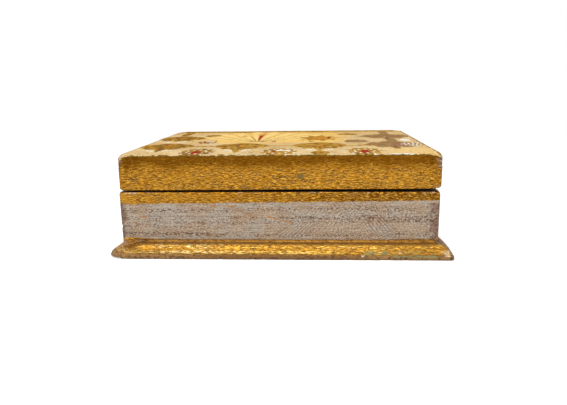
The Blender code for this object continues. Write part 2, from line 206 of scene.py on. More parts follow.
class Graph:
    """Node tree of one material or of the sky, with lengths in mm."""

    def __init__(self, name: str, store: Optional[bpy.types.bpy_prop_collection] = None) -> None:
        """Starts an empty tree.

        Args:
            name: name of the material or the sky.
            store: where it is kept, which is among the materials if left out.
        """
        kept_in = bpy.data.materials if store is None else store
        self.owner = kept_in.new(name)
        self.owner.use_nodes = True
        self.tree = self.owner.node_tree
        self.tree.nodes.clear()

    def feed(self, socket: Socket, value: object) -> None:
        """Links or sets an input.

        Args:
            socket: input to fill.
            value: a socket, a number, a vector or a colour.
        """
        if isinstance(value, Socket):
            self.tree.links.new(value, socket)
        elif socket.type == "RGBA" and len(value) == 3:
            socket.default_value = (*value, 1.0)
        else:
            socket.default_value = value

    def node(self, kind: str, inputs: dict, **settings: object) -> bpy.types.Node:
        """Adds a node.

        Args:
            kind: type of the node, after the word ShaderNode.
            inputs: input name or place to its value.
            settings: properties of the node.

        Returns:
            The new node.
        """
        made = self.tree.nodes.new("ShaderNode" + kind)
        for key, value in settings.items():
            setattr(made, key, value)
        for key, value in inputs.items():
            self.feed(made.inputs[key], value)
        return made

    @cached_property
    def spot(self) -> Socket:
        """Place on the piece."""
        return self.stretched(self.node("TexCoord", {}).outputs["Object"], (1.0 / MM,) * 3)

    @cached_property
    def bar(self) -> Socket:
        """Place along, out from and up a bar, stored on the piece's vertices."""
        return self.node("Attribute", {}, attribute_name="bar").outputs["Vector"]

    @cached_property
    def run(self) -> Socket:
        """Place along a bar."""
        return self.parts(self.bar)[0]

    @cached_property
    def rise(self) -> Socket:
        """Height on a bar."""
        return self.parts(self.bar)[2]

    def own(self, name: str) -> Socket:
        """Number stored on the piece's vertices."""
        return self.node("Attribute", {}, attribute_name=name).outputs["Fac"]

    def stretched(self, place: Socket, factors: Place) -> Socket:
        """Place with each axis multiplied."""
        return self.node("VectorMath", {0: place, 1: factors}, operation="MULTIPLY").outputs[0]

    def shifted(self, place: Socket, amount: Union[Place, Socket]) -> Socket:
        """Place moved by another vector."""
        return self.node("VectorMath", {0: place, 1: amount}, operation="ADD").outputs[0]

    def turned(self, place: Socket, degrees: float) -> Socket:
        """Place turned about its second axis."""
        inputs = {"Vector": place, "Angle": math.radians(degrees)}
        return self.node("VectorRotate", inputs, rotation_type="Y_AXIS").outputs[0]

    def parts(self, place: Socket) -> tuple[Socket, Socket, Socket]:
        """The three numbers of a place."""
        return tuple(self.node("SeparateXYZ", {0: place}).outputs)

    def noise(self, place: Socket, size: float, detail: float = 2.0, rough: float = 0.5) -> Socket:
        """Cloudy noise from 0 to 1 with blots of a size in mm, some finer layers and their share."""
        inputs = {"Vector": place, "Scale": 1.0 / size, "Detail": detail, "Roughness": rough}
        return self.node("TexNoise", inputs).outputs[0]

    def streaks(
        self, place: Socket, squash: float, size: float, detail: float = 2.0, rough: float = 0.5
    ) -> Socket:
        """Cloudy noise drawn out along the first axis, which is squashed before it is read."""
        return self.noise(self.stretched(place, (squash, 1.0, 1.0)), size, detail, rough)

    def warped(self, place: Socket, size: float, reach: float) -> Socket:
        """Place pushed about by noise of a size, as far as a reach in mm."""
        push = self.node("TexNoise", {"Vector": place, "Scale": 1.0 / size, "Detail": 1.0}).outputs[1]
        return self.shifted(place, self.stretched(push, (reach,) * 3))

    def cells(self, place: Socket, size: float, edges: bool = False) -> Socket:
        """Distance from the middles or the edges of scattered cells, with 1 as wide as a cell."""
        feature = "DISTANCE_TO_EDGE" if edges else "F1"
        return self.node("TexVoronoi", {"Vector": place, "Scale": 1.0 / size}, feature=feature).outputs[0]

    def ramp(self, value: Value, low: float, high: float) -> Socket:
        """Smooth rise from 0 at low to 1 at high."""
        inputs = {"Value": value, "From Min": low, "From Max": high}
        return self.node("MapRange", inputs, interpolation_type="SMOOTHSTEP").outputs[0]

    def math(self, operation: str, *values: Value) -> Socket:
        """Joins several values by one operation.

        Args:
            operation: name of the arithmetic.
            values: what it works on, in order.

        Returns:
            The outcome.
        """
        total = values[0]
        for value in values[1:]:
            total = self.node("Math", {0: total, 1: value}, operation=operation).outputs[0]
        return total

    def plus(self, *values: Value) -> Socket:
        """Sum of several values."""
        return self.math("ADD", *values)

    def times(self, *values: Value) -> Socket:
        """Product of several values."""
        return self.math("MULTIPLY", *values)

    def most(self, *values: Value) -> Socket:
        """Largest of several values."""
        return self.math("MAXIMUM", *values)

    def size(self, value: Socket) -> Socket:
        """Value without its sign."""
        return self.math("ABSOLUTE", value, 0.0)

    def away(self, value: Socket, level: float) -> Socket:
        """Distance of a value from a level."""
        return self.size(self.plus(value, -level))

    def swing(self, noise: Socket, reach: float) -> Socket:
        """Noise taken about 0 instead of 0.5, and scaled."""
        return self.times(self.plus(noise, -0.5), reach)

    def mix(self, first: Colour, second: Colour, share: Value) -> Socket:
        """Colour between two colours."""
        return self.node("Mix", {0: share, 6: first, 7: second}, data_type="RGBA").outputs[2]

    def between(self, first: Value, second: Value, share: Value) -> Value:
        """Number between two numbers, left plain where they are the same."""
        inputs = {0: share, 2: first, 3: second}
        return first if first == second else self.node("Mix", inputs, data_type="FLOAT").outputs[0]

    def cover(self, under: Coat, over: Coat, where: Value, strength: float = 1.0) -> Coat:
        """Lays one coat over another.

        Args:
            under: the lower coat.
            over: the upper coat.
            where: where the upper coat shows.
            strength: how much of it shows there.

        Returns:
            The two as one coat.
        """
        share = where if strength == 1.0 else self.times(where, strength)
        return Coat(
            self.mix(under.colour, over.colour, share),
            self.between(under.metallic, over.metallic, share),
            self.between(under.roughness, over.roughness, share),
            self.between(under.height, over.height, share),
        )

    def close(self, coat: Coat, **constants: float) -> Material:
        """Feeds a coat to the shader.

        Args:
            coat: the finished coat.
            constants: plain shader inputs, with spaces written as underscores.

        Returns:
            The finished material.
        """
        inputs = {"Base Color": coat.colour, "Metallic": coat.metallic, "Roughness": coat.roughness}
        inputs |= {key.replace("_", " "): value for key, value in constants.items()}
        shader = self.node("BsdfPrincipled", inputs)
        if isinstance(coat.height, Socket):
            bump = self.node("Bump", {"Height": coat.height, "Distance": MM, "Strength": 1.0})
            self.feed(shader.inputs["Normal"], bump.outputs[0])
        self.node("OutputMaterial", {"Surface": shader.outputs[0]})
        return self.owner


class Finish:
    """A finish with the node tree of its material."""

    name: str

    @cached_property
    def g(self) -> Graph:
        """Node tree, started when it is first used."""
        return Graph(self.name)


@dataclass(frozen=True)
class GiltFinish(Finish):
    """Aged gold leaf over bole and gesso, wrinkled and brushed along each bar."""

    name: str
    deep: RGB = (0.125, 0.042, 0.001)
    mid: RGB = (0.320, 0.132, 0.007)
    bright: RGB = (0.640, 0.330, 0.040)
    bole: RGB = (0.085, 0.032, 0.006)
    clay: RGB = (0.300, 0.165, 0.105)
    dirt: RGB = (0.100, 0.055, 0.040)
    gesso: RGB = (0.740, 0.550, 0.370)
    chipped: RGB = (0.720, 0.570, 0.400)
    olive: RGB = (0.165, 0.100, 0.016)
    # Painted shade on the gilding: the heights where it turns from dark at the top to light lower down, and
    # how strongly.
    painted_shade_top: float = 61.5
    painted_shade_foot: float = 51.5
    painted_light_strength: float = 0.60
    level: float = 0.0
    fade: float = 0.0
    painted_end_shade: float = -0.25
    grain: float = 1.0

    def gold(self) -> Coat:
        """The whole gilded coat, darker to the right, with painted shade towards the top of the lid and at
        the ends of each bar.

        Returns:
            The gilded coat.
        """
        g = self.g
        cloud = g.noise(g.bar, 18.0, 2.0)
        drift = g.streaks(g.bar, 0.22, 3.6, 3.0, 0.6)
        # Painted light and shade by height: the gold is coloured lighter lower down and darker towards the
        # top of the lid.
        painted_light_low = g.ramp(g.plus(g.rise, g.swing(cloud, 12.0)), self.painted_shade_top, self.painted_shade_foot)
        tone = g.plus(g.times(cloud, 0.35), g.times(drift, 0.55), g.times(painted_light_low, self.painted_light_strength), self.level)
        # Painted shade: each bar is coloured darker towards its ends, where it turns round the corners.
        ends = g.ramp(g.size(g.run), 82.0, 102.0)
        tone = g.plus(tone, g.times(g.run, self.fade), g.times(ends, self.painted_end_shade))
        colour = g.mix(self.deep, self.mid, g.ramp(tone, 0.38, 0.95))
        colour = g.mix(colour, self.bright, g.times(g.ramp(tone, 0.92, 1.40), 0.6))
        coat = Coat(colour, 0.98, g.between(0.36, 0.56, drift), g.times(drift, 0.10))
        # The brush lines fade out where the painted shade darkens the top.
        return self.brushed(coat, g.times(g.between(0.15, 1.0, painted_light_low), self.grain))

    def brushed(self, coat: Coat, depth: Socket) -> Coat:
        """Adds fine grain and thin brush lines, each dark with a painted highlight on its upper edge.

        Args:
            coat: the plain gilded coat.
            depth: strength of the lines.

        Returns:
            The brushed coat.
        """
        g = self.g
        grain = g.streaks(g.bar, 0.22, 0.66, 2.5, 0.65)
        shine = Coat(self.bright, 0.98, 0.34, 0.05)
        shade = Coat(self.deep, 0.9, 0.60, -0.05)
        coat = g.cover(coat, shine, g.times(g.ramp(grain, 0.51, 0.60), depth), 0.95)
        coat = g.cover(coat, shade, g.times(g.ramp(grain, 0.48, 0.38), depth), 0.90)
        where = g.times(g.ramp(g.noise(g.bar, 6.0), 0.36, 0.56), depth)
        # The first line, moved half a millimetre, is a painted highlight where light would catch each
        # wrinkle; the second is its dark bole.
        lines = ((0.5, shine, 0.6), (0.0, Coat(self.bole, 0.6, 0.7, -0.07), 0.70))
        for squash, size, reach in ((0.11, 1.2, 0.5), (0.22, 1.7, 1.2), (0.45, 2.6, 2.0)):
            bent = g.warped(g.stretched(g.bar, (squash, 1.0, 1.0)), 2.5, reach)
            for lift, line, strength in lines:
                ridge = g.away(g.noise(g.shifted(bent, (0.0, 0.0, lift)), size, 1.0), 0.5)
                coat = g.cover(coat, line, g.times(g.ramp(ridge, 0.034, 0.010), where), strength)
        dots = g.ramp(g.cells(g.warped(g.bar, 2.0, 1.5), 3.1), 0.17, 0.09)
        return g.cover(coat, Coat(self.bole, 0.2, 0.8, -0.03), dots, 0.8)

    def marked(self, mark: Mark, ragged: Socket, low: float, high: float) -> Socket:
        """Where a mark shows, with a ragged edge."""
        return self.g.ramp(self.g.plus(self.g.own(mark.value), ragged), low, high)

    def wear(self, coat: Coat) -> Coat:
        """Rubs the corners to clay and the arrises to gesso, and lays the single marks.

        Args:
            coat: coat to wear.

        Returns:
            The worn coat.
        """
        g = self.g
        crumble = g.noise(g.bar, 1.5, 3.0, 0.65)
        patch = g.noise(g.bar, 5.0, 3.0, 0.65)
        stroke = g.streaks(g.bar, 0.25, 0.9, 2.0, 0.6)
        rubbed = g.plus(g.own("rubbed"), g.times(crumble, 0.5), g.times(patch, 1.3), g.times(stroke, 0.3))
        earth = Coat(g.mix(self.clay, self.dirt, g.ramp(crumble, 0.40, 0.58)), 0.1, 0.75, -0.05)
        coat = g.cover(coat, earth, g.ramp(rubbed, 1.55, 1.80), 0.85)
        worn = g.plus(g.own("worn"), g.times(crumble, 0.5), g.times(patch, 0.7))
        bare = Coat(g.mix(self.gesso, self.clay, g.ramp(stroke, 0.45, 0.65)), 0.0, 0.85, -0.05)
        coat = g.cover(coat, bare, g.ramp(worn, 1.08, 1.20))
        stain = self.marked(Mark.DARK, g.times(crumble, 1.6), 0.95, 0.55)
        coat = g.cover(coat, Coat(self.olive, 0.3, 0.6, 0.02), stain, 0.8)
        chip = self.marked(Mark.GESSO, g.times(crumble, 2.2), 1.10, 0.80)
        return g.cover(coat, Coat(self.chipped, 0.0, 0.9, -0.06), chip, 0.85)

    def make(self) -> Material:
        """Writes the material."""
        g = self.g
        return g.close(self.wear(self.gold()))


@dataclass(frozen=True)
class BandFinish(GiltFinish):
    """Toned silver band between gold borders, with brush lines, specks and scratched hatching."""

    silver: RGB = (0.410, 0.292, 0.192)
    grey: RGB = (0.420, 0.355, 0.280)
    pale: RGB = (0.620, 0.520, 0.400)
    dusk: RGB = (0.200, 0.112, 0.062)
    brown: RGB = (0.120, 0.045, 0.020)
    amber: RGB = (0.420, 0.175, 0.035)
    lifted: RGB = (0.660, 0.590, 0.500)
    band_top: float = 34.75
    band_foot: float = 9.9
    climb: float = 0.0105
    speck_rows: tuple[float, ...] = (30.0, 24.5, 13.8)

    def silvered(self) -> Coat:
        """Silver leaf gone warm and grey.

        Returns:
            The silvered coat.
        """
        g = self.g
        cloud = g.plus(g.streaks(g.bar, 0.5, 10.0, 3.0), g.times(g.run, -0.0006))
        brush = g.streaks(g.bar, 0.06, 0.65, 2.0, 0.6)
        fleck = g.streaks(g.bar, 0.7, 0.85, 2.0, 0.6)
        colour = g.mix(self.silver, self.grey, g.ramp(cloud, 0.44, 0.60))
        tone = g.plus(g.times(brush, 0.45), g.times(fleck, 0.55))
        colour = g.mix(colour, self.dusk, g.times(g.ramp(tone, 0.50, 0.36), 0.85))
        colour = g.mix(colour, self.pale, g.times(g.ramp(tone, 0.51, 0.64), 0.85))
        coat = Coat(colour, 0.30, g.between(0.45, 0.65, fleck), g.times(g.plus(brush, fleck), 0.10))
        return self.specked(coat)

    def specked(self, coat: Coat) -> Coat:
        """Adds small brown specks, most of them gathered in rows.

        Args:
            coat: the silvered coat.

        Returns:
            The specked coat.
        """
        g = self.g
        rows = g.streaks(g.bar, 0.012, 2.6, 1.0)
        rows = g.plus(g.times(rows, 0.7), g.times(g.noise(g.bar, 9.0), 0.3), -0.04)
        level = g.plus(g.rise, g.swing(g.noise(g.bar, 14.0), 3.0))
        for row in self.speck_rows:
            rows = g.plus(rows, g.times(g.ramp(g.away(level, row), 1.8, 0.3), 0.15))
        for squash, size, strength in ((0.40, 1.00, 0.85), (0.80, 0.85, 0.80)):
            specks = g.cells(g.warped(g.stretched(g.bar, (squash, 1.0, 1.0)), 1.0, 0.8), size)
            where = g.ramp(g.plus(specks, g.times(rows, -1.0)), -0.20, -0.34)
            coat = g.cover(coat, Coat(self.brown, 0.1, 0.75, -0.05), where, strength)
        return coat

    def hatched(self, coat: Coat) -> Coat:
        """Adds fine scratched strokes, denser to the right, each dark with a painted highlight beside it.

        Args:
            coat: the silvered coat.

        Returns:
            The scratched coat.
        """
        g = self.g
        bent = g.warped(g.bar, 16.0, 7.0)
        broken = g.ramp(g.noise(g.bar, 2.2, 2.0), 0.40, 0.56)
        broken = g.times(broken, g.ramp(g.run, -12.0, 25.0), g.ramp(g.run, 96.0, 78.0))
        # Dark scratch lines, each with a painted highlight line just beside it.
        lines = (
            (0.0, Coat(self.dusk, 0.1, 0.7, -0.08), 0.60),
            (0.55, Coat(self.pale, 0.2, 0.55, 0.08), 0.50),
        )
        for number, (turn, pitch) in enumerate(((50.0, 1.9), (-55.0, 1.7), (86.0, 2.2), (24.0, 2.0))):
            across = g.parts(g.turned(bent, turn))[2]
            where = g.ramp(g.noise(g.shifted(g.bar, (37.0 * number, 0.0, 0.0)), 11.0, 1.0), 0.50, 0.58)
            for offset, line, strength in lines:
                wave = g.math("PINGPONG", g.plus(across, offset), 0.5 * pitch)
                coat = g.cover(coat, line, g.times(g.ramp(wave, 0.36, 0.10), where, broken), strength)
        return coat

    def touched(self, coat: Coat) -> Coat:
        """Adds the single scratches, ridges and amber touches.

        Args:
            coat: coat to add to.

        Returns:
            The touched coat.
        """
        g = self.g
        crumble = g.noise(g.bar, 1.0, 2.0, 0.6)
        layers = (
            (Mark.ORANGE, Coat(self.amber, 0.4, 0.45, 0.05), 1.4, 0.82, 0.50, 0.85),
            (Mark.SCRATCH, Coat(self.dusk, 0.1, 0.7, -0.06), 0.9, 0.55, 0.25, 0.60),
            (Mark.RIDGE, Coat(self.lifted, 0.1, 0.55, 0.08), 0.9, 0.55, 0.25, 0.45),
        )
        for mark, over, reach, low, high, strength in layers:
            where = self.marked(mark, g.times(crumble, reach), low, high)
            coat = g.cover(coat, over, where, strength)
        return coat

    def make(self) -> Material:
        """Writes the material.

        Returns:
            The banded finish.
        """
        g = self.g
        wobble = g.swing(g.streaks(g.bar, 0.25, 2.2, 3.0), 2.0)
        top = g.plus(g.times(g.run, self.climb), self.band_top, wobble)
        bow = g.plus(g.times(g.run, 0.01), 0.3)
        foot = g.plus(g.times(bow, bow, 0.8), self.band_foot, wobble)
        foot = g.plus(foot, g.times(g.ramp(g.run, -66.0, -104.0), 1.6))
        above_foot = g.ramp(g.math("SUBTRACT", g.rise, foot), -0.25, 0.25)
        below_top = g.ramp(g.math("SUBTRACT", top, g.rise), -0.25, 0.25)
        silver = self.hatched(self.silvered())
        coat = g.cover(self.gold(), silver, g.times(above_foot, below_top))
        return g.close(self.wear(self.touched(coat)))


@dataclass(frozen=True)
class MouldingFinish(GiltFinish):
    """Burnished gold on the rounds of a moulding with painted highlights, a darker and duller cove with
    painted shade, and rubbed at its lip.
    """

    lip: RGB = (0.320, 0.168, 0.050)
    dark_lip: RGB = (0.205, 0.092, 0.020)
    # Dark colour for blots on the lip and for the painted shadow line under the round.
    dark_grime_and_shade: RGB = (0.070, 0.028, 0.008)
    # Colour of the cove, darkened as painted shade.
    hollow: RGB = (0.310, 0.142, 0.020)
    # Colours of the painted highlights on the round, the second for its left part.
    painted_gleam: RGB = (0.890, 0.620, 0.170)
    painted_glint: RGB = (0.950, 0.760, 0.340)
    gesso: RGB = (0.800, 0.640, 0.360)
    green: RGB = (0.220, 0.275, 0.110)
    lip_top: float = 2.95
    hollow_foot: float = 8.8

    def burnished(self, streak: Socket) -> Coat:
        """Gold with painted highlights along the round, duller at the ends and paler to the left.

        Args:
            streak: noise drawn out along the bar.

        Returns:
            The burnished coat with its painted highlights.
        """
        g = self.g
        # Painted highlights: bright streaks in bands along the round where light would be reflected, weaker
        # at the ends and paler to the left.
        ridge = g.times(g.ramp(g.away(g.rise, 4.5), 1.2, 0.3), g.ramp(g.run, 50.0, 15.0))
        belly = g.ramp(g.away(g.rise, 6.4), 1.3, 0.4)
        where = g.plus(g.noise(g.bar, 20.0), g.times(g.ramp(g.rise, 5.5, 7.5), 0.22), g.times(ridge, 0.35))
        where = g.plus(where, g.times(belly, -0.22))
        fine = g.ramp(g.plus(streak, g.times(ridge, 0.05)), 0.51, 0.62)
        painted_gleam = g.times(fine, g.ramp(where, 0.34, 0.70), 0.75)
        painted_gleam = g.times(painted_gleam, g.between(1.0, 0.35, g.ramp(g.size(g.run), 66.0, 92.0)))
        painted_glint = g.mix(self.painted_gleam, self.painted_glint, g.ramp(g.run, -15.0, -50.0))
        coat = g.cover(self.gold(), Coat(painted_glint, 0.98, 0.34, 0.08), painted_gleam)
        return g.cover(coat, Coat(self.olive, 0.5, 0.6, -0.04), g.ramp(streak, 0.47, 0.37), 0.55)

    def make(self) -> Material:
        """Writes the material.

        Returns:
            The finish of the moulding.
        """
        g = self.g
        crumble = g.streaks(g.bar, 0.6, 1.4, 3.0, 0.65)
        streak = g.streaks(g.bar, 0.18, 0.62, 3.0, 0.7)
        level = g.plus(g.rise, g.swing(crumble, 1.3))
        hollow = g.mix(self.hollow, self.deep, g.ramp(crumble, 0.42, 0.62))
        lip = g.mix(self.lip, self.dark_lip, g.ramp(g.size(g.run), 66.0, 36.0))
        lip = g.mix(lip, self.dark_grime_and_shade, g.ramp(crumble, 0.46, 0.64))
        crease = g.ramp(g.away(level, self.hollow_foot + 0.1), 0.50, 0.1)
        # Painted shadow: a dark line along the top of the lip, under the round.
        shadow = g.ramp(g.away(level, self.lip_top + 0.35), 0.45, 0.1)
        # Painted shade: the cove above the round is coloured a darker, duller gold, as if turned away from
        # the light.
        above = g.ramp(level, self.hollow_foot - 0.3, self.hollow_foot + 0.3)
        below = g.ramp(level, self.lip_top + 0.2, self.lip_top - 0.3)
        moss = g.plus(g.own(Mark.GREEN.value), g.times(crumble, 4.5), g.times(streak, 5.0))
        layers = (
            (Coat(hollow, 0.8, 0.55, 0.0), above, 0.85),
            (Coat(self.bole, 0.2, 0.7, -0.05), crease, 0.35),
            (Coat(lip, 0.25, 0.65, g.times(crumble, 0.2)), below, 0.92),
            (Coat(self.dark_grime_and_shade, 0.2, 0.7, -0.05), shadow, 0.5),
            # Darker along the very bottom of the lip.
            (Coat(self.dark_grime_and_shade, 0.1, 0.8, 0.0), g.ramp(level, 0.8, 0.1), 0.6),
            (Coat(self.green, 0.0, 0.75, 0.02), g.ramp(moss, 4.75, 3.85), 0.7),
        )
        coat = self.burnished(streak)
        for over, where, strength in layers:
            coat = g.cover(coat, over, where, strength)
        return g.close(self.wear(coat))


@dataclass(frozen=True)
class LidFinish(GiltFinish):
    """Cream gesso ground with gilded and painted ornament on top, and gilding down the edge."""

    cream: RGB = (0.665, 0.450, 0.200)
    chalk: RGB = (0.795, 0.600, 0.320)
    honey: RGB = (0.890, 0.570, 0.165)
    leaf: RGB = (0.265, 0.118, 0.010)
    shine: RGB = (0.560, 0.305, 0.045)
    umber: RGB = (0.275, 0.145, 0.060)
    red: RGB = (0.380, 0.022, 0.018)
    orange: RGB = (0.660, 0.230, 0.022)
    yellow: RGB = (0.930, 0.680, 0.260)
    rose: RGB = (0.420, 0.170, 0.130)
    white: RGB = (0.870, 0.810, 0.690)
    ink: RGB = (0.130, 0.062, 0.020)
    top: float = 64.9
    ground_edge: float = 0.75

    def ground(self, cloud: Socket, fleck: Socket) -> Coat:
        """Cream ground, chalky along the front and honey-coloured in the middle.

        Args:
            cloud: broad noise.
            fleck: fine noise.

        Returns:
            The ground.
        """
        g = self.g
        right, back, _ = g.parts(g.spot)
        streak = g.noise(g.stretched(g.spot, (1.0, 0.3, 1.0)), 1.5, 2.0, 0.6)
        front = g.ramp(back, -40.0, -60.0)
        tone = g.plus(g.times(cloud, 0.6), g.times(streak, 0.6), g.times(front, 0.07))
        colour = g.mix(self.cream, self.chalk, g.ramp(tone, 0.50, 0.76))
        at_corner = g.times(g.ramp(right, 55.0, 85.0), front, 0.5)
        warm = g.most(g.own("glow"), at_corner, g.times(g.ramp(back, 45.0, 70.0), 0.6))
        colour = g.mix(colour, self.honey, g.times(warm, g.ramp(tone, 0.30, 0.55)))
        soil = g.plus(g.times(g.ramp(streak, 0.56, 0.72), 0.5), g.times(g.ramp(back, 48.0, 70.0), 0.30))
        colour = g.mix(colour, self.umber, soil)
        return Coat(colour, 0.0, g.between(0.50, 0.70, fleck), g.times(fleck, 0.06))

    def painted(self) -> Coat:
        """The painted top, with each pigment laid inside its drawn outline.

        Returns:
            The ground with its ornament.
        """
        g = self.g
        fleck = g.noise(g.spot, 2.0, 3.0, 0.65)
        ragged = g.swing(g.noise(g.spot, 3.2, 3.0, 0.65), 5.0)
        fine = g.swing(fleck, 1.6)
        mottle = g.noise(g.stretched(g.spot, (1.0, 0.6, 1.0)), 4.0, 3.0, 0.65)
        umber = g.mix(self.umber, self.leaf, g.ramp(mottle, 0.49, 0.36))
        umber = g.mix(umber, self.cream, g.times(g.ramp(mottle, 0.54, 0.68), 0.5))
        tone = g.plus(fleck, mottle, g.times(g.ramp(g.parts(g.spot)[0], -65.0, -20.0), 0.10))
        gilt = g.mix(self.leaf, self.shine, g.ramp(tone, 0.96, 1.20))
        gilt = g.mix(gilt, self.ink, g.times(g.ramp(mottle, 0.48, 0.34), 0.55))
        layers = (
            (Pigment.YELLOW, Coat(self.yellow, 0.0, 0.5, 0.02), fine, 0.8),
            (Pigment.UMBER, Coat(umber, 0.0, 0.65, 0.02), g.times(ragged, 1.5), 0.85),
            (Pigment.GOLD, Coat(gilt, 0.0, 0.60, 0.05), ragged, 0.95),
            (Pigment.ORANGE, Coat(self.orange, 0.0, 0.5, 0.03), fine, 0.5),
            (Pigment.RED, Coat(self.red, 0.0, 0.45, 0.05), fine, 0.95),
            (Pigment.ROSE, Coat(self.rose, 0.0, 0.65, 0.02), ragged, 0.65),
            (Pigment.WHITE, Coat(self.white, 0.0, 0.6, 0.04), fine, 1.0),
            (Pigment.INK, Coat(self.ink, 0.0, 0.6, -0.02), fine, 0.75),
        )
        coat = self.ground(g.noise(g.spot, 24.0, 3.0), fleck)
        for pigment, over, edge, strength in layers:
            inside = g.ramp(g.plus(g.own(pigment.value), edge), 0.25, -0.25)
            coat = g.cover(coat, over, inside, strength)
        return coat

    def aged(self, coat: Coat) -> Coat:
        """Adds cracks and specks of dirt to the top.

        Args:
            coat: the painted top.

        Returns:
            The aged top.
        """
        g = self.g
        web = g.ramp(g.cells(g.warped(g.spot, 7.0, 5.0), 7.5, True), 0.035, 0.008)
        web = g.times(web, g.ramp(g.noise(g.spot, 17.0), 0.45, 0.60))
        coat = g.cover(coat, Coat(self.ink, 0.0, 0.7, -0.04), web, 0.4)
        dots = g.ramp(g.cells(g.warped(g.spot, 3.0, 2.0), 4.5), 0.13, 0.06)
        return g.cover(coat, Coat(self.ink, 0.0, 0.7, -0.03), dots, 0.7)

    def make(self) -> Material:
        """Writes the material.

        Returns:
            The finish of the lid.
        """
        g = self.g
        wavy = g.plus(g.noise(g.stretched(g.spot, (0.5, 0.5, 1.0)), 1.6, 3.0, 0.7), -0.5)
        level = g.plus(g.rise, g.times(wavy, 2.6))
        foot = self.top - self.ground_edge
        coat = g.cover(self.gold(), self.aged(self.painted()), g.ramp(level, foot, foot + 0.4))
        seam = g.ramp(g.away(level, foot), 0.45, 0.15)
        coat = g.cover(coat, Coat(self.olive, 0.1, 0.7, -0.03), seam, 0.85)
        return g.close(self.wear(coat), Specular_IOR_Level=0.0)


@dataclass(frozen=True)
class PaintFinish(Finish):
    """Brushed flat paint inside the box."""

    name: str = "interior_paint"
    main: RGB = (0.215, 0.042, 0.026)
    thin: RGB = (0.330, 0.110, 0.060)
    scuffed: RGB = (0.420, 0.260, 0.150)

    def make(self) -> Material:
        """Writes the material.

        Returns:
            The paint.
        """
        g = self.g
        brush = g.noise(g.stretched(g.spot, (0.08, 0.08, 1.0)), 1.2, 3.0, 0.6)
        cloud = g.noise(g.spot, 16.0, 3.0)
        tone = g.ramp(g.plus(g.times(brush, 0.6), g.times(cloud, 0.5)), 0.45, 0.75)
        rough = g.between(0.55, 0.75, cloud)
        coat = Coat(g.mix(self.main, self.thin, tone), 0.0, rough, g.times(brush, 0.05))
        scuff = g.ramp(g.cells(g.warped(g.spot, 3.0, 3.0), 9.0), 0.10, 0.05)
        return g.close(g.cover(coat, Coat(self.scuffed, 0.0, 0.8, -0.03), scuff, 0.6))


@dataclass(frozen=True)
class WoodFinish(Finish):
    """Bare softwood with its grain along the box."""

    name: str = "bare_softwood"
    early: RGB = (0.450, 0.270, 0.135)
    late: RGB = (0.230, 0.115, 0.048)
    grimy: RGB = (0.110, 0.070, 0.042)

    def make(self) -> Material:
        """Writes the material.

        Returns:
            The bare wood.
        """
        g = self.g
        rings = g.streaks(g.warped(g.spot, 60.0, 8.0), 0.02, 7.0, 2.0)
        rings = g.math("PINGPONG", g.times(rings, 6.0), 0.5)
        pores = g.streaks(g.spot, 0.05, 0.6, 2.0)
        grime = g.noise(g.spot, 20.0, 4.0, 0.6)
        colour = g.mix(self.early, self.late, g.ramp(rings, 0.18, 0.48))
        colour = g.mix(colour, self.late, g.ramp(pores, 0.58, 0.75))
        colour = g.mix(colour, self.grimy, g.times(g.ramp(grime, 0.46, 0.66), 0.6))
        return g.close(Coat(colour, 0.0, g.between(0.60, 0.82, grime), g.times(pores, -0.08)))


@dataclass(frozen=True)
class FeltFinish(Finish):
    """Pressed wool felt."""

    name: str = "red_felt"
    wool: RGB = (0.270, 0.026, 0.028)
    fade: RGB = (0.340, 0.055, 0.046)

    def make(self) -> Material:
        """Writes the material.

        Returns:
            The felt.
        """
        g = self.g
        fibre = g.noise(g.warped(g.spot, 1.2, 1.6), 0.45, 4.0, 0.7)
        tone = g.plus(g.times(fibre, 0.7), g.times(g.noise(g.spot, 22.0, 3.0), 0.5))
        colour = g.mix(self.wool, self.fade, g.ramp(tone, 0.48, 0.80))
        coat = Coat(colour, 0.0, 0.95, g.times(fibre, 0.18))
        return g.close(coat, Sheen_Weight=0.3, Sheen_Roughness=0.6)


@dataclass(frozen=True)
class MetalFinish(Finish):
    """Small aged metal fitting."""

    name: str
    metal: RGB
    tarnish: RGB
    shine: float = 0.32

    def make(self) -> Material:
        """Writes the material.

        Returns:
            The aged metal.
        """
        g = self.g
        cloud = g.noise(g.spot, 2.2, 4.0, 0.65)
        rubbed = g.streaks(g.spot, 0.2, 0.35, 2.0)
        shade = g.ramp(g.plus(g.times(cloud, 0.8), g.times(rubbed, 0.3)), 0.48, 0.72)
        bright = Coat(self.metal, 1.0, self.shine, g.times(rubbed, 0.01))
        return g.close(g.cover(bright, Coat(self.tarnish, 0.55, 0.65, 0.01), shade))


class Finishes:
    """Every material of the box, made once."""

    def __init__(self) -> None:
        """Writes the materials."""
        self.rail = GiltFinish("gilt_lid_rail").make()
        self.lid = LidFinish("painted_lid").make()
        band = BandFinish("silvered_band", level=-0.34, fade=-0.0046, painted_end_shade=0.0, grain=0.85)
        self.band = band.make()
        moulding = MouldingFinish("gilt_moulding", level=0.12, fade=0.0003, painted_end_shade=-0.12, grain=0.80)
        self.moulding = moulding.make()
        self.paint = PaintFinish().make()
        # Near-black paint on the faces where lid and case meet: painted shadow for the gap between them.
        self.rim = PaintFinish("rim_shadow_paint", (0.026, 0.017, 0.014), (0.075, 0.042, 0.026)).make()
        self.wood = WoodFinish().make()
        self.felt = FeltFinish().make()
        self.brass = MetalFinish("aged_brass", (0.640, 0.420, 0.150), (0.190, 0.115, 0.045)).make()
        self.iron = MetalFinish("dark_iron", (0.200, 0.185, 0.170), (0.100, 0.055, 0.034), 0.45).make()


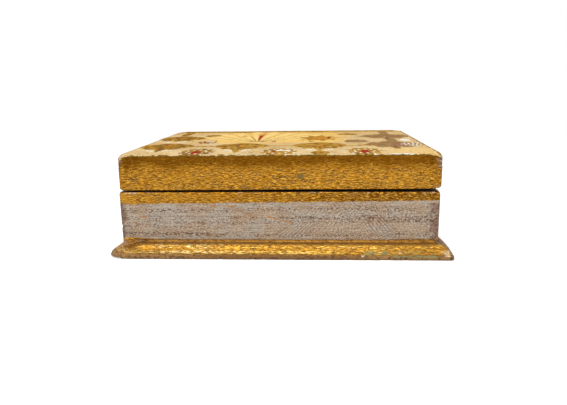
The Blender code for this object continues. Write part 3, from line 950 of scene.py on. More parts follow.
@dataclass(frozen=True)
class Touch:
    """One mark on the face of a bar, as a short stroke. Lengths in mm, tilt in degrees."""

    mark: Mark
    run: float
    rise: float
    length: float
    width: float
    tilt: float = 0.0

    def distance(self, run: Array, rise: Array) -> Array:
        """Signed distance from the stroke's outline.

        Args:
            run: places along the bar.
            rise: heights.

        Returns:
            Distances, negative inside.
        """
        angle = math.radians(self.tilt)
        along = (run - self.run) * math.cos(angle) + (rise - self.rise) * math.sin(angle)
        across = (rise - self.rise) * math.cos(angle) - (run - self.run) * math.sin(angle)
        beyond = np.maximum(np.abs(along) - self.length / 2.0, 0.0)
        return np.hypot(beyond, across) - self.width / 2.0


class SectionPen:
    """Draws the section of a bar with the outset as -Y and the height as Z."""

    def __init__(self, mesh: BMesh, outset: float, rise: float) -> None:
        """Sets down the pen.

        Args:
            mesh: mesh to draw in.
            outset: first outset in mm.
            rise: first height in mm.
        """
        self.mesh = mesh
        self.first = mesh.verts.new((0.0, -outset, rise))
        self.last = self.first

    def line(self, outset: float, rise: float) -> BMVert:
        """Draws a straight line.

        Args:
            outset: outset of its end.
            rise: height of its end.

        Returns:
            Its end.
        """
        made = bmesh.ops.extrude_vert_indiv(self.mesh, verts=[self.last])
        self.last = made["verts"][0]
        self.last.co = (0.0, -outset, rise)
        return self.last

    def curve(self, outset: float, rise: float, degrees: float, steps: int, tall: float) -> None:
        """Draws a part of an ellipse.

        Args:
            outset: outset of its centre.
            rise: height of its centre.
            degrees: turn of the pen about the centre.
            steps: number of short lines.
            tall: height of the ellipse as a share of its width.
        """
        centre = Vector((0.0, -outset, rise))
        self.last.co.z = rise + (self.last.co.z - rise) / tall
        known = set(self.mesh.verts) - {self.last}
        spun = bmesh.ops.spin(
            self.mesh, geom=[self.last], cent=centre, axis=(1.0, 0.0, 0.0), dvec=(0.0, 0.0, 0.0),
            angle=math.radians(degrees), steps=steps, use_merge=False, use_duplicate=False,
        )
        squash = Matrix.Diagonal((1.0, 1.0, tall, 1.0))
        space = Matrix.Translation(-centre)
        drawn = [vert for vert in self.mesh.verts if vert not in known]
        bmesh.ops.transform(self.mesh, matrix=squash, space=space, verts=drawn)
        self.last = picked(spun["geom_last"], BMVert)[0]

    def close(self) -> BMFace:
        """Joins the end to the start and fills the section."""
        self.mesh.edges.new((self.last, self.first))
        return bmesh.ops.contextual_create(self.mesh, geom=self.mesh.edges[:])["faces"][0]


def picked(made: list, kind: type) -> list:
    """Items of one kind among what an operator made."""
    return [item for item in made if isinstance(item, kind)]


def cut(mesh: BMesh, place: Place, normal: Place) -> None:
    """Cuts the faces of a mesh along a plane."""
    everything = mesh.verts[:] + mesh.edges[:] + mesh.faces[:]
    bmesh.ops.bisect_plane(mesh, geom=everything, plane_co=place, plane_no=normal)


def to_data(mesh: BMesh, name: str) -> Mesh:
    """Marks the sharp edges of a drawn mesh and stores it.

    Args:
        mesh: the drawn mesh, which is freed.
        name: name of the data.

    Returns:
        The stored mesh.
    """
    for edge in mesh.edges:
        edge.smooth = edge.calc_face_angle(0.0) < SHARP_ANGLE
    data = bpy.data.meshes.new(name)
    mesh.to_mesh(data)
    mesh.free()
    return data


def read_points(data: Mesh) -> Array:
    """Reads where a mesh's vertices are.

    Args:
        data: the mesh.

    Returns:
        Their places, n by 3.
    """
    flat = np.zeros(len(data.vertices) * 3, np.float32)
    data.vertices.foreach_get("co", flat)
    return flat.reshape(-1, 3).astype(float)


def write_points(data: Mesh, points: Array) -> None:
    """Moves a mesh's vertices to places in mm."""
    data.vertices.foreach_set("co", (points * MM).astype(np.float32).ravel())


def put_number(data: Mesh, name: str, values: Array) -> None:
    """Stores a number on each vertex."""
    attribute = data.attributes.new(name, "FLOAT", "POINT")
    attribute.data.foreach_set("value", values.astype(np.float32))


def put_place(data: Mesh, name: str, values: Array) -> None:
    """Stores a place on each vertex."""
    attribute = data.attributes.new(name, "FLOAT_VECTOR", "POINT")
    attribute.data.foreach_set("vector", values.astype(np.float32).ravel())


def sway(points: Array, reach: float) -> Array:
    """How far a hand-planed face wanders in and out, in mm."""
    return Field(11, 19.0).at(points) * reach + Field(12, 4.0).at(points) * reach * 0.35


def finish_piece(data: Mesh, name: str, materials: list[Material], body: str) -> Piece:
    """Puts a mesh in the scene in the place of a solid.

    Args:
        data: finished mesh, in metres.
        name: name of the solid, with "shown_" put before it for the piece.
        materials: its materials in order.
        body: body that it rides on.

    Returns:
        The piece.
    """
    for material in materials:
        data.materials.append(material)
    data.update()
    piece = bpy.data.objects.new("shown_" + name, data)
    bpy.context.scene.collection.objects.link(piece)
    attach(piece, body)
    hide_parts(name)
    log.info("%s: %d faces on %s", piece.name, len(data.polygons), body)
    return piece


@dataclass(frozen=True)
class Bar:
    """Vertices of one bar of a frame: their places along it, out from the wall and up, in mm."""

    side: Side
    half_run: float
    run: Array
    outset: Array
    rise: Array

    @property
    def ends(self) -> tuple[Corner, Corner]:
        """Corners at the bar's negative and positive ends."""
        corners = list(Corner)
        return corners[self.side.order], corners[(self.side.order + 1) % 4]

    @cached_property
    def left_over(self) -> Array:
        """Distances from the mitre along the bar."""
        return self.half_run + self.outset - np.abs(self.run)

    def still(self) -> Array:
        """A zero for each vertex."""
        return np.zeros(len(self.run))

    def near(self, corner: Corner, reach: float) -> Array:
        """How close the vertices are to an upright corner.

        Args:
            corner: the corner.
            reach: distance at which the share starts to rise.

        Returns:
            Shares from 0, at the reach, to 1, at the corner.
        """
        low, high = self.ends
        here = self.run < 0.0 if corner is low else (self.run > 0.0) & (corner is high)
        return smooth_ramp(self.half_run - np.abs(self.run), reach, 0.0) * here

    def by_end(self, measure: Callable[["Bar", Corner], Array]) -> Array:
        """Numbers that hang on the corner at each vertex's own end."""
        low, high = (measure(self, corner) for corner in self.ends)
        return np.where(self.run < 0.0, low, high)


@dataclass
class MitredFrame:
    """Four bars mitred round the box. Lengths in mm."""

    finishes: Finishes
    half_width: float = 100.0
    half_depth: float = 80.0
    body: str = "case"
    slot: str = "silvered_wood"
    pattern: str = "case_{}_board"
    pitch: float = 0.6
    step: float = 0.7
    corner_radius: float = 1.0
    bareness: float = 0.38
    wander: float = 0.10
    stand_left: float = 0.0
    stand_right: float = 0.0
    touches: dict[Side, list[Touch]] = field(default_factory=dict)
    corner_wear: dict[Corner, float] = field(default_factory=dict)
    rub_width: dict[Corner, float] = field(default_factory=dict)

    def section(self, mesh: BMesh) -> BMFace:
        """Draws the bar's section."""
        raise NotImplementedError

    def zone(self, outset: float, rise: float) -> int:
        """Number of the material at a place of the section."""
        raise NotImplementedError

    def materials(self) -> list[Material]:
        """Materials in the order of the zones."""
        raise NotImplementedError

    def radius(self, bar: Bar, corner: Corner) -> Array:
        """Rounding of an upright corner in plan, for each vertex."""
        worn = self.corner_radius + self.corner_wear.get(corner, 0.0)
        return np.maximum(0.05, worn * smooth_ramp(bar.outset, -6.0, 0.0))

    def arris(self, bar: Bar) -> Array:
        """Distance from the nearest arris along the bar."""
        raise NotImplementedError

    def reshape(self, bar: Bar) -> tuple[Array, Array]:
        """How far each vertex moves outwards and upwards."""
        raise NotImplementedError

    def rubbing(self, bar: Bar, corner: Corner) -> Array:
        """How much an upright corner is rubbed, from 0 to 1."""
        return 0.50 * np.clip(1.0 - bar.left_over / self.rub_width.get(corner, 2.0), 0.0, 1.0)

    def cuts(self, side: Side) -> list[float]:
        """Extra cuts across a bar, as shares of its half length."""
        return []

    def spread(self, side: Side, share: Array, half_run: float, outset: Array) -> Array:
        """Places along a bar, stretched so that its ends meet on the mitre."""
        return share * (half_run + outset)

    def sweep(self, mesh: BMesh, face: BMFace, half_run: float) -> None:
        """Draws the section out to a bar from -1 to 1 along X, in short steps.

        Args:
            mesh: mesh that holds the section.
            face: the section.
            half_run: half the bar's length, which sets the number of steps.
        """
        for edge in list(face.edges):
            cuts = int(edge.calc_length() / self.pitch)
            if cuts > 0:
                bmesh.ops.subdivide_edges(mesh, edges=[edge], cuts=cuts)
        bmesh.ops.translate(mesh, vec=(-1.0, 0.0, 0.0), verts=mesh.verts[:])
        made = bmesh.ops.extrude_face_region(mesh, geom=mesh.faces[:])["geom"]
        bmesh.ops.translate(mesh, vec=(2.0, 0.0, 0.0), verts=picked(made, BMVert))
        long_edges = [edge for edge in mesh.edges if abs(edge.verts[0].co.x - edge.verts[1].co.x) > 1.0]
        steps = int(2.0 * half_run / self.step)
        bmesh.ops.subdivide_edges(mesh, edges=long_edges, cuts=steps, use_grid_fill=True)

    def make_side(self, side: Side) -> Piece:
        """Makes one bar.

        Args:
            side: which side it is on.

        Returns:
            The finished piece.
        """
        half_run, half_reach = self.half_width, self.half_depth
        if side in (Side.LEFT, Side.RIGHT):
            half_run, half_reach = half_reach, half_run
        mesh = bmesh.new()
        self.sweep(mesh, self.section(mesh), half_run)
        for share in self.cuts(side):
            cut(mesh, (share, 0.0, 0.0), (1.0, 0.0, 0.0))
        bmesh.ops.recalc_face_normals(mesh, faces=mesh.faces[:])
        for face in mesh.faces:
            middle = face.calc_center_median()
            face.material_index = self.zone(-middle.y, middle.z)
            face.smooth = True
        name = self.pattern.format(side.word)
        data = to_data(mesh, name)
        share, inset, rise = read_points(data).T
        run = self.spread(side, share, half_run, -inset)
        bar = Bar(side, half_run, run, -inset, rise)
        write_points(data, self.placed(bar, half_reach))
        self.store(data, bar)
        return finish_piece(data, name, self.materials(), self.body)

    def mitred(self, bar: Bar, half_reach: float) -> tuple[Array, Array]:
        """Rounds the ends of a bar in plan and turns it to its side.

        Args:
            bar: its vertices.
            half_reach: distance of the wall's face from the middle of the box.

        Returns:
            Places in the box, and the way that each faces.
        """
        radius = bar.by_end(self.radius)
        sign = np.sign(bar.run)
        angle = np.clip(1.0 - bar.left_over / radius, 0.0, 1.0) * math.pi / 4.0
        inside = np.minimum(np.abs(bar.run), bar.half_run + bar.outset - radius)
        turning = bar.left_over < radius
        along = np.where(turning, sign * (inside + radius * np.sin(angle)), bar.run)
        face = half_reach + bar.outset
        reach = np.where(turning, face - radius + radius * np.cos(angle), face)
        local = np.column_stack([along, -reach, bar.rise])
        normals = np.column_stack([sign * np.sin(angle), -np.cos(angle), bar.still()])
        turn = np.array(Matrix.Rotation(bar.side.turn, 3, "Z"))
        return local @ turn.T, normals @ turn.T

    def placed(self, bar: Bar, half_reach: float) -> Array:
        """Mitres, wears and turns a bar.

        Args:
            bar: its vertices.
            half_reach: distance of the wall's face from the middle of the box.

        Returns:
            Places in the box.
        """
        points, normals = self.mitred(bar, half_reach)
        out_move, up_move = self.reshape(bar)
        skin = smooth_ramp(bar.outset, -2.0, -0.5)
        stand = np.where(normals[:, 0] > 0.0, self.stand_right, self.stand_left)
        points = points + normals * (sway(points, self.wander) * skin + out_move)[:, None]
        points[:, 0] += normals[:, 0] * stand * skin
        points[:, 2] += up_move
        return points

    def store(self, data: Mesh, bar: Bar) -> None:
        """Stores a bar's places, wear and marks.

        Args:
            data: the bar's mesh.
            bar: its vertices.
        """
        outside = bar.outset > -1.5
        at_corner = np.where(bar.outset > -3.0, 0.8 * bar.left_over, OUT_OF_REACH)
        edge = np.minimum(at_corner, self.arris(bar))
        put_place(data, "bar", np.column_stack([bar.run, bar.outset + SIDE_GAP * bar.side.order, bar.rise]))
        put_number(data, "worn", np.clip(1.0 - edge / WEAR_REACH, 0.0, 1.0) * self.bareness)
        put_number(data, "rubbed", np.where(outside, bar.by_end(self.rubbing), 0.0))
        for mark in Mark:
            nearest = np.full(len(bar.run), FAR)
            for touch in self.touches.get(bar.side, []):
                if touch.mark is mark:
                    nearest = np.minimum(nearest, touch.distance(bar.run, bar.rise))
            put_number(data, mark.value, np.where(outside, nearest, FAR))

    def build(self) -> list[Piece]:
        """Makes the four bars."""
        return [self.make_side(side) for side in Side]


@dataclass
class LidRails(MitredFrame):
    """The gilded sides of the lid, under its panel."""

    body: str = "lid"
    slot: str = "gilt_wood"
    pattern: str = "lid_{}_rail"
    foot: float = 42.3
    top: float = 56.9
    thickness: float = 9.0
    foot_radius: float = 0.8
    arris_gap: float = 0.6
    dubbing: tuple[tuple[Corner, float, float], ...] = (
        (Corner.FRONT_RIGHT, 1.5, 4.0),
        (Corner.FRONT_LEFT, 0.6, 3.0),
    )
    foot_lift: float = 0.40
    foot_climb: float = 0.0036
    knuckle: float = 1.9
    axis_inset: float = 0.726
    axis_rise: float = 41.8
    hinge_run: float = 55.0
    hinge_half: float = 12.95
    gain_room: float = 5.0
    gain_edge: float = 0.06

    def board(self, mesh: BMesh, corners: tuple[Spot, ...], eased: tuple[int, ...]) -> BMFace:
        """Draws a board's section with some of its arrises eased.

        Args:
            mesh: mesh to draw in.
            corners: outset and height of each corner.
            eased: numbers of the corners to ease.

        Returns:
            The section.
        """
        pen = SectionPen(mesh, *corners[0])
        drawn = [pen.first] + [pen.line(*corner) for corner in corners[1:]]
        pen.close()
        bmesh.ops.bevel(
            mesh, geom=[drawn[number] for number in eased], offset=self.foot_radius, offset_type="OFFSET",
            segments=4, profile=0.5, affect="VERTICES", material=-1,
        )
        return mesh.faces[:][0]

    def section(self, mesh: BMesh) -> BMFace:
        """Draws a rail's section with its foot eased.

        Args:
            mesh: mesh to draw in.

        Returns:
            The section.
        """
        back = -self.thickness
        corners = ((0.0, self.top), (back, self.top), (back, self.foot), (0.0, self.foot))
        return self.board(mesh, corners, (2, 3))

    def zone(self, outset: float, rise: float) -> int:
        """Gilding outside, paint inside, and near-black paint as painted shadow where the halves meet."""
        at_joint = outset < -1.4 and abs(rise - self.free_face()) < 0.05
        return 2 if at_joint else int(outset < -self.thickness + 0.4)

    def free_face(self) -> float:
        """Height of the face that meets the other half of the box."""
        return self.foot

    def materials(self) -> list[Material]:
        """Gilding, interior paint and the near-black rim paint that stands as painted shadow in the gap."""
        return [self.finishes.rail, self.finishes.paint, self.finishes.rim]

    def arris(self, bar: Bar) -> Array:
        """Distance from the outer arris of the free face."""
        return np.hypot(bar.outset, bar.rise - self.free_face()) + self.arris_gap

    def cuts(self, side: Side) -> list[float]:
        """Cuts just inside and outside the ends of the hinge gains, on the back.

        Args:
            side: which side the bar is on.

        Returns:
            Shares of the bar's half length.
        """
        if side is not Side.BACK:
            return []
        signs = (-1.0, 1.0)
        ends = [middle * self.hinge_run + end * self.hinge_half for middle in signs for end in signs]
        return [(end + nudge * self.gain_edge) / self.half_width for end in ends for nudge in signs]

    def spread(self, side: Side, share: Array, half_run: float, outset: Array) -> Array:
        """Keeps the back square along the hinges, and stretches only its ends to the mitre.

        Args:
            side: which side the bar is on.
            share: places along it, from -1 to 1.
            half_run: half its length at the wall's face.
            outset: outsets.

        Returns:
            Places along the bar.
        """
        if side is not Side.BACK:
            return super().spread(side, share, half_run, outset)
        at_end = smooth_ramp(np.abs(share), 0.75, 1.0)
        return share * half_run + np.sign(share) * outset * at_end

    def at_hinge(self, bar: Bar) -> Array:
        """Whether a vertex lies along a hinge on the back."""
        return (np.abs(np.abs(bar.run) - self.hinge_run) < self.hinge_half) & (bar.side is Side.BACK)

    def gain(self, bar: Bar, facing: float) -> Array:
        """Depth of the gain round a hinge's knuckle.

        Args:
            bar: the bar's vertices.
            facing: 1 where the free face looks up, -1 where it looks down.

        Returns:
            How far each vertex draws back from the free face.
        """
        from_axis = bar.outset + self.axis_inset
        knuckle = np.sqrt(np.maximum(0.0, self.knuckle**2 - from_axis**2))
        wanted = np.maximum(0.0, facing * (self.free_face() - self.axis_rise) + knuckle)
        room = facing * (bar.rise - self.free_face()) + self.gain_room
        return wanted * np.clip(room / self.gain_room, 0.0, 1.0)

    def dubbed(self, bar: Bar) -> Array:
        """How far the free face draws back at its worn corners."""
        return sum(depth * bar.near(corner, reach) for corner, depth, reach in self.dubbing)

    def reshape(self, bar: Bar) -> tuple[Array, Array]:
        """Lets the foot rise a little to the right, and cuts the gains for the hinges.

        Args:
            bar: the bar's vertices.

        Returns:
            How far each moves outwards and upwards.
        """
        turn = bar.side.turn
        world = bar.run * math.cos(turn) + (self.half_depth + bar.outset) * math.sin(turn)
        up = (self.foot_lift + self.foot_climb * world) * smooth_ramp(bar.rise, self.foot + 6.0, self.foot)
        up += self.dubbed(bar) * smooth_ramp(bar.rise, self.foot + 3.0, self.foot)
        up = np.where(self.at_hinge(bar), np.maximum(up, self.gain(bar, -1.0)), up)
        return bar.still(), up


@dataclass
class CaseWalls(LidRails):
    """The silvered walls of the case."""

    body: str = "case"
    slot: str = "silvered_wood"
    pattern: str = "case_{}_board"
    foot: float = 5.0
    top: float = 41.3
    step: float = 0.5
    pitch: float = 0.5
    arris_gap: float = 0.5
    dubbing: tuple[tuple[Corner, float, float], ...] = (
        (Corner.FRONT_RIGHT, 1.2, 3.5),
        (Corner.FRONT_LEFT, 0.7, 3.0),
    )
    nick_rise: float = 18.9
    nick_height: float = 0.8
    nick_depth: float = 0.9

    def section(self, mesh: BMesh) -> BMFace:
        """Draws a wall's section with its rim eased.

        Args:
            mesh: mesh to draw in.

        Returns:
            The section.
        """
        back = -self.thickness
        corners = ((0.0, self.foot), (0.0, self.top), (back, self.top), (back, self.foot))
        return self.board(mesh, corners, (1, 2))

    def free_face(self) -> float:
        """Height of the rim."""
        return self.top

    def rubbing(self, bar: Bar, corner: Corner) -> Array:
        """Rubs the silver more than its gold borders."""
        silver = smooth_ramp(bar.rise, 9.5, 12.5) * smooth_ramp(bar.rise, 36.0, 33.5)
        return super().rubbing(bar, corner) * (0.5 + 1.1 * silver)

    def materials(self) -> list[Material]:
        """Banded gilding, interior paint and the near-black rim paint that stands as painted shadow in the
        gap.
        """
        return [self.finishes.band, self.finishes.paint, self.finishes.rim]

    def reshape(self, bar: Bar) -> tuple[Array, Array]:
        """Cuts the gains for the hinges and raises or sinks the single marks.

        Args:
            bar: the bar's vertices.

        Returns:
            How far each moves outwards and upwards.
        """
        up = np.where(self.at_hinge(bar), -self.gain(bar, 1.0), 0.0)
        up -= self.dubbed(bar) * smooth_ramp(bar.rise, self.top - 4.0, self.top)
        nick = np.exp(-(((bar.rise - self.nick_rise) / self.nick_height) ** 2))
        out = -self.nick_depth * bar.near(Corner.FRONT_LEFT, 2.5) * nick
        heights = {Mark.SCRATCH: -0.12, Mark.RIDGE: 0.12, Mark.ORANGE: 0.08, Mark.GESSO: -0.25}
        for touch in self.touches.get(bar.side, []):
            inside = smooth_ramp(touch.distance(bar.run, bar.rise), 0.3, -0.2)
            out += heights.get(touch.mark, 0.0) * inside
        return out * smooth_ramp(bar.outset, -1.0, -0.2), up


@dataclass
class BaseMoulding(MitredFrame):
    """The gilded moulding round the foot of the case."""

    slot: str = "gilt_moulding"
    pattern: str = "plinth_{}"
    corner_radius: float = 0.7
    pitch: float = 0.5
    step: float = 0.6
    height: float = 10.5
    projection: float = 9.2
    lip_top: float = 2.7
    lip_radius: float = 0.75
    heel: float = 0.4
    round_centre: float = 2.4
    round_height: float = 6.2
    cove_width: float = 1.9
    cove_height: float = 1.6
    bareness: float = 0.56
    lip_gap: float = 1.45
    bite_in: float = 0.35
    bite_down: float = 0.15
    slope_front: float = 11.0
    slope_left: float = 45.0
    tip_lift: float = 0.9
    slim_corner: float = 0.65
    slim_left: float = 0.8
    slim_right: float = 0.85
    worn_heights: tuple[float, ...] = (2.7, 3.7, 4.5, 5.5, 6.5, 7.35, 8.3, 10.5)
    worn_outsets: tuple[float, ...] = (9.2, 7.2, 5.8, 4.2, 2.8, 1.7, 0.8, 0.5)

    def section(self, mesh: BMesh) -> BMFace:
        """Draws the lip, the quarter round and the hollow.

        Args:
            mesh: mesh to draw in.

        Returns:
            The section.
        """
        lip_in = self.projection - self.lip_radius
        lip_centre = self.lip_top - self.lip_radius
        pen = SectionPen(mesh, 0.0, 0.0)
        pen.line(self.projection - self.heel, 0.0)
        pen.line(self.projection, self.heel)
        pen.line(self.projection, lip_centre)
        pen.curve(lip_in, lip_centre, -90.0, 5, 1.0)
        tall = self.round_height / (lip_in - self.round_centre)
        pen.curve(self.round_centre, self.lip_top, -90.0, 18, tall)
        pen.curve(self.round_centre, self.height, 90.0, 10, self.cove_height / self.cove_width)
        pen.line(0.0, self.height)
        return pen.close()

    def zone(self, outset: float, rise: float) -> int:
        """One finish all over, with bare wood behind and below."""
        return 1 if outset < 0.02 or rise < 0.02 else 0

    def materials(self) -> list[Material]:
        """Gilding and bare wood."""
        return [self.finishes.moulding, self.finishes.wood]

    def radius(self, bar: Bar, corner: Corner) -> Array:
        """Small rounding that grows with the wear of the corner and with the height."""
        grown = self.corner_wear.get(corner, 0.0) * (0.90 + 0.12 * bar.rise)
        return np.maximum(0.05, (self.corner_radius + grown) * smooth_ramp(bar.outset, 0.0, 0.8))

    def arris(self, bar: Bar) -> Array:
        """Distance from the lip's edge, or from the bared front right tip.

        Args:
            bar: the bar's vertices.

        Returns:
            Distance of each.
        """
        lip = np.hypot(bar.outset - self.projection, bar.rise - self.lip_top) + self.lip_gap
        if bar.side is not Side.FRONT:
            return np.minimum(lip, 3.0)
        lip += 0.4 * smooth_ramp(bar.run, -60.0, -15.0)
        tip = smooth_ramp(self.half_width + bar.outset - bar.run, 13.0, 4.5)
        tip = tip * smooth_ramp(bar.rise, 7.8, 5.8) * smooth_ramp(bar.rise, 1.2, 2.6)
        return np.minimum(lip, 3.0 - 3.0 * tip)

    def rubbing(self, bar: Bar, corner: Corner) -> Array:
        """Rubs the right side far along, partly as painted shade on that side, and the other corners low
        down only.

        Args:
            bar: the bar's vertices.
            corner: the corner.

        Returns:
            Shares from 0 to 1.
        """
        reach = self.rub_width.get(corner, 2.0)
        if corner is not Corner.FRONT_RIGHT:
            return 0.7 * np.clip(1.0 - bar.left_over / reach, 0.0, 1.0) * smooth_ramp(bar.rise, 6.5, 3.0)
        # Along the right side this long rub is partly wear and partly painted shade on the side turned from
        # the light.
        return np.clip(1.0 - bar.left_over / (12.0 * reach if bar.side is Side.RIGHT else reach), 0.0, 1.0)

    def reshape(self, bar: Bar) -> tuple[Array, Array]:
        """Nibbles the lip, and wears the front left corner down to a slope.

        Args:
            bar: the bar's vertices.

        Returns:
            How far each moves outwards and upwards.
        """
        places = np.column_stack([bar.run, bar.still() + 31.0 * bar.side.order, bar.still()])
        bite = smooth_ramp(Field(31, 3.0).at(places) + 0.5 * Field(32, 1.3).at(places), 0.35, 0.9)
        bite = bite * smooth_ramp(bar.outset, self.projection - 1.0, self.projection - 0.2)
        bite = bite * smooth_ramp(self.half_width + self.projection - np.abs(bar.run), 1.0, 5.0)
        up = -self.bite_down * bite * smooth_ramp(bar.rise, 1.0, 2.5)
        reach = self.slope_left if bar.side is Side.LEFT else self.slope_front
        over = np.maximum(0.0, bar.outset - np.interp(bar.rise, self.worn_heights, self.worn_outsets))
        out = -self.bite_in * bite
        out -= over * bar.near(Corner.FRONT_LEFT, reach) * smooth_ramp(bar.outset, 0.0, 0.3)
        tip = bar.near(Corner.FRONT_LEFT, 0.5) * smooth_ramp(bar.outset, 5.0, 9.0)
        up += self.tip_lift * tip * smooth_ramp(bar.rise, 2.4, 0.0)
        return out - self.drawn_in(bar), up

    def drawn_in(self, bar: Bar) -> Array:
        """How far the bars are rubbed thin, the right by its round and the left by its lip as well.

        Args:
            bar: the bar's vertices.

        Returns:
            How far each moves inwards.
        """
        if bar.side is Side.BACK:
            return bar.still()
        body = smooth_ramp(bar.rise, 3.3, 5.3) * smooth_ramp(bar.outset, 0.3, 2.0)
        if bar.side is Side.FRONT:
            return body * self.slim_corner * bar.near(Corner.FRONT_RIGHT, 16.0)
        behind = self.half_depth + (bar.run if bar.side is Side.RIGHT else -bar.run)
        fade = smooth_ramp(2.0 * self.half_depth - behind, 0.0, 30.0)
        if bar.side is Side.RIGHT:
            return body * fade * (self.slim_corner + self.slim_right * smooth_ramp(behind, 6.0, 18.0))
        lip_too = np.maximum(body, smooth_ramp(bar.outset, 5.0, 8.0))
        return self.slim_left * fade * smooth_ramp(behind, 3.0, 12.0) * lip_too


class Canvas:
    """Outlines of the lid's ornament as signed distances in mm, one set for each pigment."""

    def __init__(self, right: Array, back: Array) -> None:
        """Starts a blank canvas.

        Args:
            right: places to the right of the lid's middle.
            back: places behind the lid's middle.
        """
        self.right = right
        self.back = back
        self.outlines = {pigment: np.full(len(right), FAR) for pigment in Pigment}

    def lay(self, pigment: Pigment, distance: Array) -> None:
        """Adds a shape to a pigment."""
        self.outlines[pigment] = np.minimum(self.outlines[pigment], distance)

    def from_line(self, start: Spot, end: Spot) -> tuple[Array, Array, float]:
        """Places measured from a line.

        Args:
            start: where the line starts.
            end: where it ends.

        Returns:
            Distances along it and across it, and its length.
        """
        axis = np.array(end) - np.array(start)
        length = float(np.hypot(*axis))
        axis = axis / length
        along = (self.right - start[0]) * axis[0] + (self.back - start[1]) * axis[1]
        across = (self.back - start[1]) * axis[0] - (self.right - start[0]) * axis[1]
        return along, np.abs(across), length

    def oval(self, pigment: Pigment, right: float, back: float, wide: float, deep: float) -> None:
        """Lays an oval by its middle and half its width and depth."""
        reach = np.hypot((self.right - right) / wide, (self.back - back) / deep)
        self.lay(pigment, (reach - 1.0) * min(wide, deep))

    def leaf(self, pigment: Pigment, foot: Spot, tip: Spot, wide: float) -> None:
        """Lays a pointed leaf.

        Args:
            pigment: its colour.
            foot: where it starts.
            tip: where it ends.
            wide: its greatest width.
        """
        along, across, length = self.from_line(foot, tip)
        belly = np.sin(np.clip(along / length, 0.0, 1.0) ** 0.75 * math.pi)
        beyond = np.maximum(-along, along - length)
        self.lay(pigment, np.maximum(across - wide / 2.0 * belly, beyond))

    def wedge(self, pigment: Pigment, foot: Spot, end: Spot, wide: float) -> None:
        """Lays a wedge that widens evenly.

        Args:
            pigment: its colour.
            foot: its point.
            end: middle of its broad end.
            wide: width of its broad end.
        """
        along, across, length = self.from_line(foot, end)
        distance = across - wide / 2.0 * np.clip(along / length, 0.0, 1.0)
        self.lay(pigment, np.maximum(distance, np.maximum(-along, along - length)))

    def stroke(self, pigment: Pigment, start: Spot, end: Spot, wide: float) -> None:
        """Lays a line of even width with round ends.

        Args:
            pigment: its colour.
            start: where it starts.
            end: where it ends.
            wide: its width.
        """
        along, across, length = self.from_line(start, end)
        beyond = along - np.clip(along, 0.0, length)
        self.lay(pigment, np.hypot(beyond, across) - wide / 2.0)


